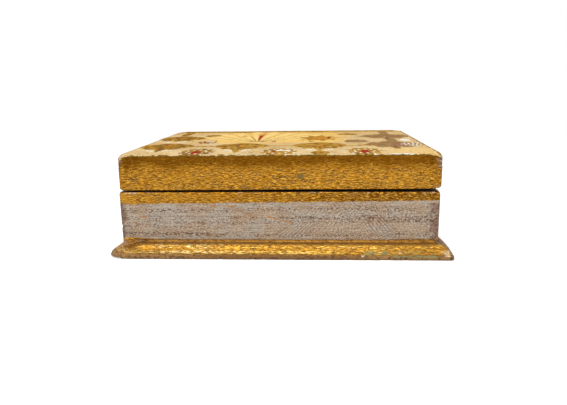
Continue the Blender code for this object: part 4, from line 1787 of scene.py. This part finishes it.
class Ornament(Canvas):
    """Leaf crowns, flowers, a fan and borders, as they are painted on the lid."""

    def flecks(self, right: float, back: float, wide: float, deep: float) -> None:
        """Scatters white flecks over an oval place.

        Args:
            right: middle of the place, to the right.
            back: middle of the place, to the back.
            wide: half its width.
            deep: half its depth.
        """
        count, turn = 18, 2.4
        for number in range(count):
            share = math.sqrt((number + 0.5) / count)
            across, along = wide * math.cos(turn * number), deep * math.sin(turn * number)
            self.oval(Pigment.WHITE, right + share * across, back + share * along, 0.8, 2.0)

    def flower(self, right: float, back: float, wide: float, deep: float, heart: float) -> None:
        """Paints a flower with a red heart, gold petals and white beads.

        Args:
            right: its middle, to the right.
            back: its middle, to the back.
            wide: its half width.
            deep: its half depth.
            heart: size of its heart, which moves to the left of two white lobes where it is small.
        """
        for turn in np.linspace(0.0, 2.0 * math.pi, 10)[:-1]:
            petal = (right + 0.72 * wide * math.cos(turn), back + 0.72 * deep * math.sin(turn))
            self.oval(Pigment.GOLD, *petal, 0.38 * wide, 0.32 * deep)
            for share, beyond in ((0.98, turn + 0.35), (0.60, turn)):
                bead = (right + share * wide * math.cos(beyond), back + share * deep * math.sin(beyond))
                self.oval(Pigment.WHITE, *bead, 0.07 * wide, 0.12 * deep)
        self.oval(Pigment.GOLD, right, back, 0.45 * wide, 0.50 * deep)
        aside = (1.0 - heart) * wide
        middle = (right - 0.5 * aside, back - 0.18 * deep)
        self.oval(Pigment.RED, *middle, 0.26 * wide * heart, 0.44 * deep * heart)
        if heart < 1.0:
            for share in (0.1, 0.9):
                lobe = (right + share * aside, back + 0.30 * deep)
                self.oval(Pigment.WHITE, *lobe, 0.26 * wide, 0.20 * deep)

    def pendant(self, pigment: Pigment, right: float, back: float, tail: float) -> None:
        """Paints a winged leaf crown with a tail towards the front.

        Args:
            pigment: its colour.
            right: its middle, to the right.
            back: its middle, to the back.
            tail: where its tail ends, to the back.
        """
        self.oval(pigment, right, back + 2.0, 12.0, 16.0)
        for sign in (-1.0, 1.0):
            self.oval(pigment, right + sign * 9.0, back, 9.5, 12.0)
            self.oval(pigment, right + sign * 8.0, back - 12.0, 4.5, 6.0)
            for step in range(2, 5 if pigment is Pigment.GOLD else 2):
                bead = (right + sign * (12.5 - 2.2 * step), back - 17.0 - 2.2 * step)
                self.oval(Pigment.WHITE, *bead, 0.8, 2.4)
            self.leaf(pigment, (right, back - 2.0), (right + sign * 25.0, back - 2.0), 9.0)
            self.leaf(Pigment.INK, (right, back - 2.0), (right + sign * 15.0, back - 3.0), 1.5)
            self.leaf(Pigment.INK, (right, back + 4.0), (right + sign * 9.0, back + 12.0), 1.3)
        self.wedge(pigment, (right, tail), (right, back - 5.0), 15.0)
        self.leaf(Pigment.INK, (right, back - 4.0), (right, tail + 5.0), 1.3)
        if pigment is Pigment.GOLD:
            self.leaf(Pigment.ORANGE, (right + 1.0, back + 8.0), (right + 1.0, back - 8.0), 5.0)

    def fan(self, right: float, back: float) -> None:
        """Paints a fan of pale rays with a red dart in its middle.

        Args:
            right: its foot, to the right.
            back: its foot, to the back.
        """
        foot = (right, back)
        for degrees in range(-54, 55, 6):
            turn = math.radians(degrees)
            reach = 82.0 - 0.30 * abs(degrees)
            tip = (right + reach * math.sin(turn), back + reach * math.cos(turn))
            if degrees % 12:
                self.wedge(Pigment.YELLOW, foot, tip, 0.11 * reach)
            else:
                start = (right + 5.0 * math.sin(turn), back + 5.0 * math.cos(turn))
                self.wedge(Pigment.INK, tip, start, 1.3)
        self.wedge(Pigment.ORANGE, (right, back + 4.0), (right - 2.0, back + 66.0), 8.0)
        self.wedge(Pigment.RED, (right - 0.5, back + 8.0), (right - 1.5, back + 52.0), 3.4)

    def bloom(self, right: float, back: float) -> None:
        """Paints the open flower beside the fan.

        Args:
            right: its middle, to the right.
            back: its middle, to the back.
        """
        for turn in np.linspace(0.0, 2.0 * math.pi, 10)[:-1]:
            tip = (right + 17.0 * math.cos(turn), back + 22.0 * math.sin(turn))
            self.leaf(Pigment.GOLD, (right, back), tip, 8.0)
            inner = (right + 12.0 * math.cos(turn), back + 17.0 * math.sin(turn))
            self.leaf(Pigment.ORANGE, (right, back), inner, 3.0)
        self.oval(Pigment.RED, right + 8.0, back + 1.0, 1.0, 8.0)
        self.oval(Pigment.YELLOW, right - 6.0, back, 1.4, 9.0)
        self.oval(Pigment.YELLOW, right + 4.0, back - 4.0, 1.2, 9.0)

    def paint(self) -> None:
        """Paints the whole top."""
        gold, umber = Pigment.GOLD, Pigment.UMBER
        crowns = (
            (gold, -80.5, -34.5, -66.0), (gold, -27.5, -35.0, -74.0), (gold, 27.0, -34.0, -65.0),
            (umber, 78.0, -29.0, -58.0), (gold, -83.0, 18.0, -6.0), (umber, 80.0, 27.0, -3.0),
        )
        for pigment, place, level, tail in crowns:
            self.pendant(pigment, place, level, tail)
        for place, level, heart in ((-52.5, -66.5, 1.0), (0.5, -66.5, 0.45), (55.0, -66.0, 1.0)):
            self.flower(place, level, 10.5, 16.0, heart)
        self.flower(-56.5, -10.0, 7.5, 10.0, 0.6)
        spots = (
            (51.0, 44.0, 9.0, 8.0), (-61.0, 38.0, 7.0, 7.0), (27.0, -72.5, 6.0, 8.0),
            (-38.0, 70.0, 10.0, 7.0), (26.0, 70.0, 12.0, 7.0),
        )
        for place, level, wide, deep in spots:
            self.oval(gold, place, level, wide, deep)
        self.oval(umber, 54.0, -8.0, 9.0, 10.0)
        for place, level in ((-7.0, -8.0), (21.0, -9.0), (-34.0, 34.0)):
            self.oval(umber, place, level, 1.6, 4.0)
        self.stroke(gold, (-66.0, -36.5), (66.0, -36.0), 3.6)
        self.stroke(gold, (-92.0, 74.0), (92.0, 74.0), 12.0)
        for place, pigment in ((-86.0, gold), (82.0, umber)):
            self.stroke(pigment, (place, 40.0), (place, 72.0), 7.0)
        self.stroke(umber, (81.0, -16.0), (81.0, 16.0), 7.0)
        self.stroke(gold, (-98.0, -78.6), (98.0, -78.6), 0.6)
        for place in (-99.4, 99.2):
            self.stroke(umber, (place, -78.0), (place, 78.0), 1.4)
        self.fan(-19.0, -12.0)
        self.bloom(27.0, 14.5)
        for place, level, wide, deep in ((91.0, -3.0, 4.0, 7.0), (76.0, -79.4, 8.0, 0.9)):
            self.oval(Pigment.WHITE, place, level, wide, deep)
        self.flecks(91.0, -30.0, 7.0, 10.0)
        self.oval(Pigment.ROSE, 83.5, -31.0, 5.5, 7.0)


@dataclass
class LidPanel:
    """The painted board on top of the lid. Lengths in mm."""

    finishes: Finishes
    half_width: float = 100.0
    half_depth: float = 80.0
    foot: float = 56.9
    top: float = 64.9
    edge_radius: float = 1.0
    edge_steps: int = 5
    side_steps: int = 10
    corner_radius: float = 1.2
    spacing: float = 0.72
    relief: float = 0.14
    wander: float = 0.10
    bareness: float = 0.62
    corner_drop: float = 1.6
    stand_left: float = 0.0
    stand_right: float = 0.0

    def mesh(self) -> Mesh:
        """Makes the grid of the top, its rounded edge, its sides and its underside.

        Returns:
            The plain board, with its rings still square at the corners.
        """
        board = bmesh.new()
        steps = [int(2.0 * half / self.spacing) for half in (self.half_width, self.half_depth)]
        bmesh.ops.create_grid(board, x_segments=steps[0], y_segments=steps[1], size=1.0)
        inner = [half - self.edge_radius for half in (self.half_width, self.half_depth)]
        bmesh.ops.scale(board, vec=(inner[0], inner[1], 1.0), verts=board.verts[:])
        bmesh.ops.translate(board, vec=(0.0, 0.0, self.top), verts=board.verts[:])
        rim = [edge for edge in board.edges if edge.is_boundary]
        for out, drop in self.levels():
            made = bmesh.ops.extrude_edge_only(board, edges=rim)["geom"]
            rim = picked(made, BMEdge)
            for vert in picked(made, BMVert):
                for axis, half in enumerate(inner):
                    value = vert.co[axis]
                    beyond = math.copysign(out, value) if abs(value) >= half - 1e-4 else 0.0
                    vert.co[axis] = max(-half, min(half, value)) + beyond
                vert.co.z = self.top - drop
        bmesh.ops.contextual_create(board, geom=rim)
        bmesh.ops.recalc_face_normals(board, faces=board.faces[:])
        for face in board.faces:
            under = face.calc_center_median().z < self.foot + 0.01
            face.material_index = int(under)
            face.smooth = not under
        return to_data(board, "lid_panel")

    def levels(self) -> list[Spot]:
        """Rings down the board's edge.

        Returns:
            How far each ring stands out from the grid and lies below the top.
        """
        angles = np.linspace(0.0, math.pi / 2.0, self.edge_steps + 1)[1:]
        drops = np.linspace(self.edge_radius, self.top - self.foot, self.side_steps + 1)[1:]
        bend = [(self.edge_radius * math.sin(a), self.edge_radius * (1.0 - math.cos(a))) for a in angles]
        return bend + [(self.edge_radius, drop) for drop in drops]

    def rounded(self, points: Array) -> Array:
        """Rounds the upright corners in plan.

        Args:
            points: places of the square board.

        Returns:
            Places with the corner squares bent to quarter discs.
        """
        core = np.array([self.half_width, self.half_depth]) - self.corner_radius
        over = np.abs(points[:, :2]) - core
        both = (over > 0.0).all(axis=1)
        reach = np.maximum(1e-9, np.hypot(*over.T))
        shrink = np.where(both, over.max(axis=1) / reach, 1.0)[:, None]
        bent = np.sign(points[:, :2]) * (core + over * shrink)
        moved = points.copy()
        moved[:, :2] = np.where(both[:, None], bent, points[:, :2])
        return moved

    def edges(self, points: Array) -> tuple[Array, Array]:
        """Tells which side each place belongs to.

        Args:
            points: places of the board.

        Returns:
            How far it faces right and back, from -1 to 1, and its place in the bars' own measure.
        """
        margin = 1.5
        flat = points[:, :2]
        inside = np.array([self.half_width, self.half_depth]) - margin
        facing = np.clip((np.abs(flat) - inside) / margin, 0.0, 1.0) * np.sign(flat)
        out_x, out_y = facing.T
        sideways = np.abs(out_x) > np.abs(out_y)
        order = np.where(sideways, np.where(out_x > 0.0, 1.0, 3.0), np.where(out_y > 0.0, 2.0, 0.0))
        front_run = points[:, 0] * np.where(out_y > 0.0, -1.0, 1.0)
        run = np.where(sideways, points[:, 1] * np.sign(out_x), front_run)
        return facing, np.column_stack([run, SIDE_GAP * order, points[:, 2]])

    def shaped(self, points: Array, facing: Array, corner: Array, gold: Array) -> Array:
        """Wears the corners down, raises the gilding and lets the sides wander.

        Args:
            points: places of the even board.
            facing: how far each faces right and back.
            corner: distances from the nearest upright corner.
            gold: distances from the gilding's outline.

        Returns:
            The moved places.
        """
        right, back, rise = points.T
        moved = points.copy()
        drop = self.corner_drop * np.where(back < 0.0, 1.0, 0.5) * smooth_ramp(corner, 8.0, 0.0)
        moved[:, 2] -= drop * smooth_ramp(rise, self.top - 5.0, self.top)
        raised = smooth_ramp(gold, 0.5, -0.6) * self.relief + Field(21, 40.0).at(points) * 0.10
        moved[:, 2] += smooth_ramp(rise, self.top - 0.3, self.top) * raised
        wander = sway(points, self.wander) * smooth_ramp(rise, self.top, self.top - self.edge_radius)
        moved[:, :2] += facing * wander[:, None]
        moved[:, 0] += facing[:, 0] * np.where(right > 0.0, self.stand_right, self.stand_left)
        return moved

    def worn(self, points: Array, corner: Array) -> Array:
        """How bare the upper edge and the corners are rubbed.

        Args:
            points: places of the even board.
            corner: distances from the nearest upright corner.

        Returns:
            A share for each place.
        """
        right, back, rise = points.T
        upper = np.minimum(self.half_width - np.abs(right), self.half_depth - np.abs(back))
        upper = np.hypot(np.maximum(0.0, upper), rise - self.top) + 0.9
        upper -= 0.7 * smooth_ramp(right, 58.0, 74.0) * (back < 0.0)
        edge = np.minimum(corner * np.where(back < 0.0, 0.28, 0.4), upper)
        return np.clip(1.0 - edge / WEAR_REACH, 0.0, 1.0) * self.bareness

    def build(self) -> Piece:
        """Makes the painted panel.

        Returns:
            The finished piece.
        """
        data = self.mesh()
        points = self.rounded(read_points(data))
        right, back, _ = points.T
        canvas = Ornament(right, back)
        canvas.paint()
        facing, bar = self.edges(points)
        corner = np.hypot(np.abs(right) - self.half_width, np.abs(back) - self.half_depth)
        write_points(data, self.shaped(points, facing, corner, canvas.outlines[Pigment.GOLD]))
        put_place(data, "bar", bar)
        put_number(data, "worn", self.worn(points, corner))
        put_number(data, "rubbed", np.clip(1.0 - corner / np.where(right > 0.0, 4.5, 2.5), 0.0, 1.0))
        glow = smooth_ramp(np.maximum(right, -0.75 * right), 58.0, 34.0) * smooth_ramp(back, -24.0, -8.0)
        put_number(data, "glow", glow)
        for pigment, outline in canvas.outlines.items():
            put_number(data, pigment.value, outline)
        for mark in Mark:
            put_number(data, mark.value, np.full(len(points), FAR))
        materials = [self.finishes.lid, self.finishes.paint]
        return finish_piece(data, "lid_panel", materials, "lid")


@dataclass
class FloorFelt:
    """The felt laid on the floor of the case. Lengths in mm."""

    finishes: Finishes
    half_width: float = 90.7
    half_depth: float = 70.7
    foot: float = 5.02
    thickness: float = 1.1
    spacing: float = 1.6
    edge_drop: float = 0.35
    edge_fray: float = 0.25

    def mesh(self) -> Mesh:
        """Makes the even slab of felt.

        Returns:
            The slab, with its underside at height 0.
        """
        felt = bmesh.new()
        steps = [int(2.0 * half / self.spacing) for half in (self.half_width, self.half_depth)]
        bmesh.ops.create_grid(felt, x_segments=steps[0], y_segments=steps[1], size=1.0)
        bmesh.ops.scale(felt, vec=(self.half_width, self.half_depth, 1.0), verts=felt.verts[:])
        made = bmesh.ops.extrude_face_region(felt, geom=felt.faces[:])["geom"]
        bmesh.ops.translate(felt, vec=(0.0, 0.0, self.thickness), verts=picked(made, BMVert))
        bmesh.ops.recalc_face_normals(felt, faces=felt.faces[:])
        for face in felt.faces:
            face.smooth = True
        return to_data(felt, "floor_lining")

    def build(self) -> Piece:
        """Makes the felt, a little uneven and soft at its edges.

        Returns:
            The finished piece.
        """
        data = self.mesh()
        points = read_points(data)
        upper = points[:, 2] > 0.5 * self.thickness
        inward = np.minimum(self.half_width - np.abs(points[:, 0]), self.half_depth - np.abs(points[:, 1]))
        swell = Field(41, 14.0).at(points) * 0.16 + Field(42, 5.0).at(points) * 0.07
        drop = self.edge_drop * smooth_ramp(inward, 1.8, 0.0)
        points[:, 2] += np.where(upper, swell * smooth_ramp(inward, 0.0, 6.0) - drop, 0.0) + self.foot
        ragged = Field(43, 6.0).at(points) * self.edge_fray - self.edge_fray
        for axis, half in enumerate((self.half_width, self.half_depth)):
            at_edge = smooth_ramp(half - np.abs(points[:, axis]), 2.0, 0.0)
            points[:, axis] += np.sign(points[:, axis]) * ragged * at_edge
        write_points(data, points)
        piece = finish_piece(data, "floor_lining", [self.finishes.felt], "case")
        return piece


@dataclass
class HingeScrew:
    """A slotted wood screw of a hinge, in the place of its plain solid. Lengths in mm."""

    finishes: Finishes
    node: str
    body: str
    head_height: float = 0.6
    shank_radius: float = 0.7
    point_length: float = 1.5
    slot_width: float = 0.45
    slot_depth: float = 0.3
    slot_turn: float = 20.0

    def draw(self, head_radius: float, length: float) -> BMesh:
        """Draws the screw, head up, with the bottom of its slot at the origin.

        Args:
            head_radius: radius of its head.
            length: its whole length.

        Returns:
            The drawn screw.
        """
        screw = bmesh.new()
        bmesh.ops.create_circle(screw, cap_ends=True, radius=head_radius, segments=32)
        for side in (-1.0, 1.0):
            cut(screw, (0.0, side * self.slot_width / 2.0, 0.0), (0.0, 1.0, 0.0))
        lobes = [face for face in screw.faces if abs(face.calc_center_median().y) > self.slot_width / 2.0]
        made = bmesh.ops.extrude_face_region(screw, geom=lobes)["geom"]
        bmesh.ops.translate(screw, vec=(0.0, 0.0, self.slot_depth), verts=picked(made, BMVert))
        bmesh.ops.delete(screw, geom=lobes, context="FACES_ONLY")
        rim = [edge for edge in screw.edges if edge.is_boundary]
        rings = (
            (1.0, self.slot_depth - self.head_height),
            (self.shank_radius / head_radius, 0.0),
            (0.9, self.head_height - length + self.point_length),
            (0.1, -self.point_length),
        )
        for taper, drop in rings:
            made = bmesh.ops.extrude_edge_only(screw, edges=rim)["geom"]
            rim = picked(made, BMEdge)
            bmesh.ops.scale(screw, vec=(taper, taper, 1.0), verts=picked(made, BMVert))
            bmesh.ops.translate(screw, vec=(0.0, 0.0, drop), verts=picked(made, BMVert))
        bmesh.ops.contextual_create(screw, geom=rim)
        bmesh.ops.remove_doubles(screw, verts=screw.verts[:], dist=1e-4)
        bmesh.ops.recalc_face_normals(screw, faces=screw.faces[:])
        return screw

    def build(self) -> Piece:
        """Makes the screw.

        Returns:
            The finished piece.
        """
        low, high = (np.array(corner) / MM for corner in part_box(self.node))
        middle = (low + high) / 2.0
        screw = self.draw((high[0] - low[0]) / 2.0, high[2] - low[2])
        turn = Matrix.Rotation(math.radians(self.slot_turn), 4, "Z")
        head = high[2] - self.slot_depth
        if self.body == "lid":
            turn = Matrix.Rotation(math.pi, 4, "X") @ turn
            head = low[2] + self.slot_depth
        bmesh.ops.transform(screw, matrix=turn, verts=screw.verts[:])
        bmesh.ops.translate(screw, vec=(middle[0], middle[1], head), verts=screw.verts[:])
        bmesh.ops.scale(screw, vec=(MM, MM, MM), verts=screw.verts[:])
        data = to_data(screw, self.node)
        return finish_piece(data, self.node, [self.finishes.brass], self.body)


@dataclass
class CarriedSolids:
    """Solids whose shape is right, which only get their finish."""

    finishes: Finishes
    nodes: dict[str, Piece]

    def dress(self) -> None:
        """Gives the bottom board, nails and hinge metal their materials."""
        brass = self.finishes.brass
        by_word = {"board": self.finishes.wood, "nail": self.finishes.iron, "leaf": brass, "pin": brass}
        for name, node in self.nodes.items():
            words = name.split("_")
            if words[0] not in ("bottom", "hinge") or "screw" in words:
                continue
            material = next(by_word[word] for word in words if word in by_word)
            node.data.materials.clear()
            node.data.materials.append(material)
            log.info("%s: kept, in %s", name, material.name)


@dataclass
class Studio:
    """White floor, soft light and the camera of the picture. Lengths in metres, angles in degrees."""

    camera_place: Place = (0.0228, -0.39607, 0.10736)
    focal_pixels: float = 519.0
    picture_width: float = 567.0
    sensor: float = 36.0
    yaw: float = -3.41
    pitch: float = 12.93
    roll: float = -0.81
    floor_half: float = 0.6
    floor_albedo: float = 0.80
    floor_lift: float = 0.45
    ambient: float = 0.40
    white: RGB = (1.0, 1.0, 1.0)
    lit_spot: Place = (0.0, 0.0, 0.03)

    def camera(self) -> None:
        """Sets up the camera."""
        data = bpy.data.cameras.new("picture_camera")
        data.sensor_width = self.sensor
        data.lens = self.focal_pixels / self.picture_width * self.sensor
        data.clip_start = 0.01
        data.clip_end = 50.0
        yaw, pitch, roll = (math.radians(angle) for angle in (self.yaw, self.pitch, self.roll))
        place = Matrix.Translation(self.camera_place)
        for angle, axis in ((-yaw, "Z"), (math.pi / 2.0 - pitch, "X"), (roll, "Z")):
            place = place @ Matrix.Rotation(angle, 4, axis)
        camera = bpy.data.objects.new("picture_camera", data)
        camera.matrix_world = place
        bpy.context.scene.collection.objects.link(camera)
        bpy.context.scene.camera = camera

    def seen(self, g: Graph) -> Socket:
        """Whether a ray comes from the camera, a gloss or a glass."""
        path = g.node("LightPath", {}).outputs
        return g.most(path["Is Camera Ray"], path["Is Glossy Ray"], path["Is Transmission Ray"])

    def floor(self) -> None:
        """Lays the white floor."""
        plane = bmesh.new()
        bmesh.ops.create_grid(plane, x_segments=1, y_segments=1, size=self.floor_half)
        data = to_data(plane, "floor")
        g = Graph("white_floor")
        paint = g.node("BsdfDiffuse", {"Color": (self.floor_albedo,) * 3})
        lift = g.node("Emission", {"Color": self.white, "Strength": g.times(self.seen(g), self.floor_lift)})
        both = g.node("AddShader", {0: paint.outputs[0], 1: lift.outputs[0]})
        g.node("OutputMaterial", {"Surface": both.outputs[0]})
        data.materials.append(g.owner)
        floor = bpy.data.objects.new("floor", data)
        bpy.context.scene.collection.objects.link(floor)

    def world(self) -> None:
        """Sets the sky, white where it is seen and softer where it lights."""
        g = Graph("white_room", bpy.data.worlds)
        level = g.node("MapRange", {"Value": self.seen(g), "To Min": self.ambient})
        sky = g.node("Background", {"Color": self.white, "Strength": level.outputs[0]})
        g.node("OutputWorld", {"Surface": sky.outputs[0]})
        bpy.context.scene.world = g.owner

    def lamp(self, name: str, place: Place, size: float, power: float) -> None:
        """Hangs a square lamp that faces the box.

        Args:
            name: name of the lamp.
            place: where it hangs.
            size: side of the square.
            power: watts.
        """
        data = bpy.data.lights.new(name, "AREA")
        data.size = size
        data.energy = power
        lamp = bpy.data.objects.new(name, data)
        lamp.location = place
        lamp.rotation_mode = "QUATERNION"
        lamp.rotation_quaternion = (Vector(self.lit_spot) - Vector(place)).to_track_quat("-Z", "Y")
        bpy.context.scene.collection.objects.link(lamp)

    def build(self) -> None:
        """Sets up everything round the box."""
        self.camera()
        self.floor()
        self.world()
        self.lamp("top_lamp", (-0.15, -0.30, 1.3), 1.1, 13.0)
        self.lamp("front_lamp", (0.25, -1.4, 0.55), 1.0, 4.5)
        bpy.context.scene.view_settings.view_transform = "Standard"


def strokes(mark: Mark, run: float, rise: float, length: float, tilt: float, count: int) -> list[Touch]:
    """Neighbouring strokes of a length that start at a place and a tilt and lean over bit by bit."""
    pitch, width, lean = 2.5, 0.6, 2.2
    return [Touch(mark, run + pitch * i, rise, length, width, tilt + lean * i) for i in range(count)]


def touches(mark: Mark, *sizes: tuple[float, ...]) -> list[Touch]:
    """Touches of one kind, each by its place, its height, its size and its tilt if it has one."""
    return [Touch(mark, *size) for size in sizes]


def front_marks() -> dict[str, list[Touch]]:
    """Single marks on the front of the lid, the case and the moulding.

    Returns:
        Marks for each frame by its name.
    """
    lid = [
        *touches(
            Mark.DARK, (14.6, 51.1, 1.2, 3.4), (-21.1, 44.6, 3.0, 1.4), (4.4, 43.7, 2.4, 1.2),
            (-23.4, 50.5, 11.0, 0.3, 90.0), (-90.6, 48.7, 2.0, 1.2), (0.9, 55.4, 2.4, 1.2),
        ),
        *touches(Mark.GESSO, (99.4, 43.5, 0.6, 1.4)),
    ]
    case = [
        *touches(
            Mark.ORANGE, (-85.6, 25.4, 2.6, 1.2), (-40.6, 32.3, 2.0, 1.2), (-29.1, 32.3, 2.4, 1.2),
            (-17.4, 25.2, 5.0, 0.9, 88.0), (2.2, 23.2, 16.0, 0.7, -17.0), (-4.6, 25.3, 2.4, 1.2, -17.0),
        ),
        *touches(
            Mark.DARK, (5.0, 24.6, 3.0, 0.6), (96.0, 33.0, 4.0, 0.5, 60.0), (95.8, 26.6, 6.0, 0.4, 85.0),
            (93.5, 20.6, 5.0, 0.5, 40.0), (95.5, 16.4, 5.0, 0.4, -20.0),
        ),
        *touches(
            Mark.GESSO, (-93.0, 40.6, 8.0, 0.8), (-80.0, 41.0, 5.0, 0.3), (-23.2, 40.8, 2.0, 0.5),
            (25.0, 40.9, 9.0, 0.4), (43.0, 40.9, 3.0, 0.4), (57.0, 40.8, 2.0, 0.5), (93.0, 40.8, 8.0, 0.4),
        ),
        *touches(
            Mark.SCRATCH, (-98.2, 30.5, 2.0, 1.4), (-97.6, 23.7, 3.0, 1.8), (-96.6, 18.9, 5.0, 1.2),
            (-97.4, 15.0, 4.0, 1.2), (-30.0, 29.4, 34.0, 0.5), (-53.0, 25.6, 66.0, 0.5),
        ),
        *touches(
            Mark.RIDGE, (19.0, 11.6, 5.0, 0.8), (35.0, 11.7, 11.0, 0.7), (62.0, 11.9, 4.5, 0.8),
            (41.5, 20.0, 10.0, 0.5, 86.0), (61.0, 22.0, 9.0, 0.5, 92.0), (84.0, 20.0, 10.0, 0.5, 84.0),
            (-22.0, 14.6, 60.0, 0.4),
        ),
        *strokes(Mark.SCRATCH, 4.0, 17.0, 15.0, 34.0, 8),
        *strokes(Mark.SCRATCH, 57.0, 21.0, 15.0, -56.0, 6),
        *strokes(Mark.RIDGE, 5.2, 16.6, 13.0, 34.0, 7),
        *strokes(Mark.RIDGE, 31.0, 22.0, 12.0, 60.0, 4),
    ]
    moulding = [
        *touches(Mark.GREEN, (61.0, 4.4, 12.0, 1.9), (86.0, 2.4, 26.0, 1.7), (84.0, 4.8, 8.0, 1.0)),
        *touches(
            Mark.GESSO, (53.2, 2.7, 1.2, 1.0), (75.8, 4.5, 1.4, 1.0), (103.5, 4.0, 5.0, 1.0, -30.0),
            (-103.5, 4.6, 2.0, 0.6),
        ),
    ]
    return {"lid": lid, "case": case, "moulding": moulding}


def main() -> None:
    """Builds the dressed box round its solids."""
    logging.basicConfig(level=logging.INFO, format="%(name)s: %(message)s")
    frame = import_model()
    Studio().build()
    finishes = Finishes()
    on_front = {name: {Side.FRONT: marks} for name, marks in front_marks().items()}
    LidPanel(finishes, stand_right=0.9).build()
    rub = {Corner.FRONT_LEFT: 2.5, Corner.FRONT_RIGHT: 6.0}
    LidRails(finishes, touches=on_front["lid"], rub_width=rub, stand_right=0.9).build()
    rub = {Corner.FRONT_LEFT: 9.0, Corner.FRONT_RIGHT: 17.0}
    CaseWalls(finishes, touches=on_front["case"], rub_width=rub, stand_left=0.7, stand_right=0.6).build()
    wear = {Corner.FRONT_LEFT: 10.0, Corner.FRONT_RIGHT: 1.5, Corner.BACK_RIGHT: 1.5, Corner.BACK_LEFT: 2.0}
    # The moulding's long rub at the front right corner is partly painted shade down its right side.
    rub = {Corner.FRONT_LEFT: 14.0, Corner.FRONT_RIGHT: 4.0}
    BaseMoulding(finishes, touches=on_front["moulding"], corner_wear=wear, rub_width=rub).build()
    FloorFelt(finishes).build()
    for hinge in ("left", "right"):
        for body in ("case", "lid"):
            for number in (1, 2):
                turn = 35.0 * number + (50.0 if body == "lid" else 0.0)
                HingeScrew(finishes, f"hinge_{hinge}_{body}_screw_{number}", body, slot_turn=turn).build()
    CarriedSolids(finishes, frame["nodes"]).dress()
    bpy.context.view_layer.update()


if __name__ == "__main__":
    main()
